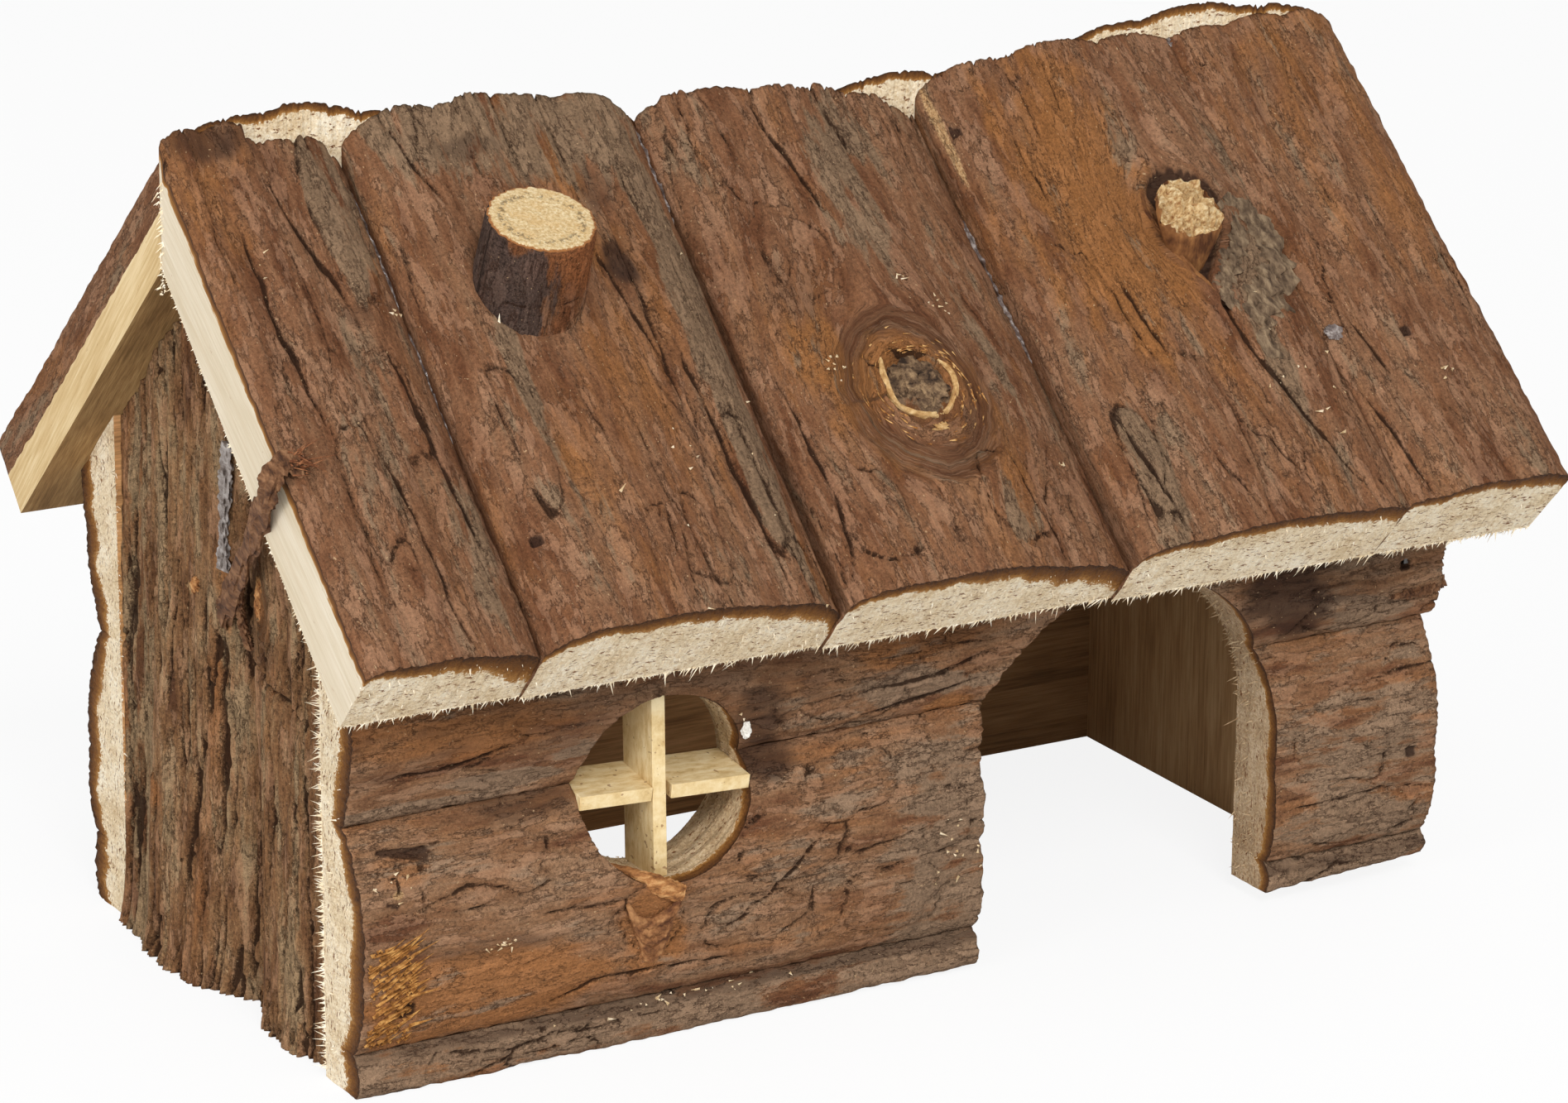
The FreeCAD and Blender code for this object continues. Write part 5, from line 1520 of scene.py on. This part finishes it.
for number, (left, start, end, thick) in enumerate(
        ((1, 0.16, 0.38, 0.8), (1, 0.42, 0.62, 0.6), (2, 0.10, 0.31, 1.1), (3, 0.34, 0.62, 1.5),
         (4, 0.05, 0.10, 0.8)), start=1):
    bend(f"seam_glue_{number}", seam(left, np.linspace(start, end, 6)), UP_OUT,
         swell(0.05, thick, 0.5), swell(0.05, 0.6 * thick, 0.5),
         glue, "roof_slab_wood", seed=290 + number, rugged=0.5)
lump("roof_glue_drop", on_bark(roof["front", 5], ((93.7, 60.1),))[0], (2.0, 1.7, 0.6), ON_ROOF, 297, 0.2,
     glue, "roof_slab_wood")
white_glue = plain_finish("white_glue", ((220, 216, 206), (236, 232, 224), (244, 242, 236)),
                          roughness=0.4, specular=0.5)
lump("window_glue_drop", (-39.5, -58.6, 57.5), (0.9, 0.9, 1.6), (ACROSS, (0, 1, 0), (0, 0, 1)), 299, 0.2,
     white_glue, "wall_slab_wood")
gable_glue = plain_finish("gable_glue", ((116, 104, 96), (144, 134, 128), (172, 164, 158)),
                          (500.0, 500.0, 500.0), 0.4, 0.5, 0.0005)
bend("gable_glue", on_bark(left_gable[1], ((-1.6, 110.0), (-1.4, 101.0), (-1.0, 93.0), (-0.6, 85.0))),
     (-1.0, 0.0, 0.0), lambda w: 1.5 + 0.5 * np.sin(7 * w), swell(0.8, 0),
     gable_glue, "wall_slab_wood", seed=301, rugged=0.4)


# ---- Brads ----------------------------------------------------------------------------------------
# Flat wire brads of bright steel with a small T head.  They hold the walls to the gables and the roof
# to both, driven below the bark.
steel = Finish("brad_steel", 0.45, 0.5)
steel.shader.inputs["Metallic"].default_value = 1.0
steel_place = steel.add("ShaderNodeTexCoord").outputs["Object"]
scuffed = steel.noise(steel_place, (1500.0, 1500.0, 1500.0))
steel.colour(steel.ramp(scuffed, *shades(((70, 68, 66), (120, 118, 116)), 0.3, 0.7)))
for name in ("front_wall_brads", "back_wall_brads", "front_roof_brads", "back_roof_brads"):
    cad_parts[name].data.materials.clear()
    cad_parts[name].data.materials.append(steel.material)


# ---- Studio ---------------------------------------------------------------------------------------
# A plain white floor under soft light from above and in front.
bm = bmesh.new()
bmesh.ops.create_grid(bm, x_segments=1, y_segments=1, size=6.0)
floor_mesh = meshed(bm, "floor")
floor = stand("floor", floor_mesh)
floor_look = Finish("floor_white", 0.9, 0.1)
FLOOR_BOUNCE = 0.85                             # how light the floor is to all but the camera
FLOOR_GLOW = 0.88                               # the camera's share of plain white in it
seen = floor_look.add("ShaderNodeLightPath").outputs
seen = floor_look.math("MAXIMUM", floor_look.math("MAXIMUM", seen["Is Camera Ray"], seen["Is Glossy Ray"]),
                       seen["Is Transmission Ray"])
floor_look.colour(floor_look.mix(seen, (FLOOR_BOUNCE, FLOOR_BOUNCE, FLOOR_BOUNCE, 1.0),
                                 (0.92, 0.92, 0.92, 1.0)))
glow = floor_look.add("ShaderNodeEmission", (1.0, 1.0, 1.0, 1.0), 1.0)
lit = floor_look.add("ShaderNodeMixShader", floor_look.math("MULTIPLY", seen, FLOOR_GLOW))
floor_look.tree.links.new(floor_look.shader.outputs[0], lit.inputs[1])
floor_look.tree.links.new(glow.outputs[0], lit.inputs[2])
floor_look.tree.links.new(lit.outputs[0], floor_look.end.inputs[0])
floor_mesh.materials.append(floor_look.material)

world = bpy.data.worlds.new("studio")
bpy.context.scene.world = world
world.use_nodes = True
world_nodes, world_links = world.node_tree.nodes, world.node_tree.links
ambient = world_nodes["Background"]
ambient.inputs["Color"].default_value = (1.0, 1.0, 1.0, 1.0)
ambient.inputs["Strength"].default_value = 0.55
white = world_nodes.new("ShaderNodeBackground")
ray = world_nodes.new("ShaderNodeLightPath").outputs
either = world_nodes.new("ShaderNodeMath")
either.operation = "MAXIMUM"
any_seen = world_nodes.new("ShaderNodeMath")
any_seen.operation = "MAXIMUM"
world_links.new(ray["Is Camera Ray"], either.inputs[0])
world_links.new(ray["Is Glossy Ray"], either.inputs[1])
world_links.new(either.outputs[0], any_seen.inputs[0])
world_links.new(ray["Is Transmission Ray"], any_seen.inputs[1])
mixed = world_nodes.new("ShaderNodeMixShader")
world_links.new(any_seen.outputs[0], mixed.inputs[0])
world_links.new(ambient.outputs[0], mixed.inputs[1])
world_links.new(white.outputs[0], mixed.inputs[2])
world_links.new(mixed.outputs[0], world_nodes["World Output"].inputs[0])


def softbox(name, place, target, size, power):
    light = bpy.data.lights.new(name, "AREA")
    light.shape = "SQUARE"
    light.size = size
    light.energy = power
    made = stand(name, light)
    made.location = place
    made.rotation_euler = (Vector(target) - Vector(place)).to_track_quat("-Z", "Y").to_euler()


softbox("key_light", (-0.35, -1.5, 1.4), (0, 0, 0.07), 0.7, 23.0)
softbox("side_light", (-1.8, -0.6, 0.6), (0, 0, 0.07), 1.0, 15.0)

CAMERA_PLACE = Vector((-0.53095, -0.92267, 0.40808))
HEADING, DIP, ROLL = (math.radians(v) for v in (30.092, 17.602, 0.478))
ahead = Vector((math.sin(HEADING) * math.cos(DIP), math.cos(HEADING) * math.cos(DIP), -math.sin(DIP)))
level_right = Vector((math.cos(HEADING), -math.sin(HEADING), 0))
level_up = level_right.cross(ahead)
right = level_right * math.cos(ROLL) + level_up * math.sin(ROLL)
up = level_up * math.cos(ROLL) - level_right * math.sin(ROLL)
camera_data = bpy.data.cameras.new("camera")
camera_data.sensor_width = 36.0
camera_data.lens = 129.24
camera_data.shift_x, camera_data.shift_y = -0.0041, -0.0003
camera = stand("camera", camera_data)
turn = Matrix((right, up, -ahead)).transposed()
camera.matrix_world = Matrix.Translation(CAMERA_PLACE) @ turn.to_4x4()
bpy.context.scene.camera = camera

bpy.context.scene.view_settings.view_transform = "Standard"
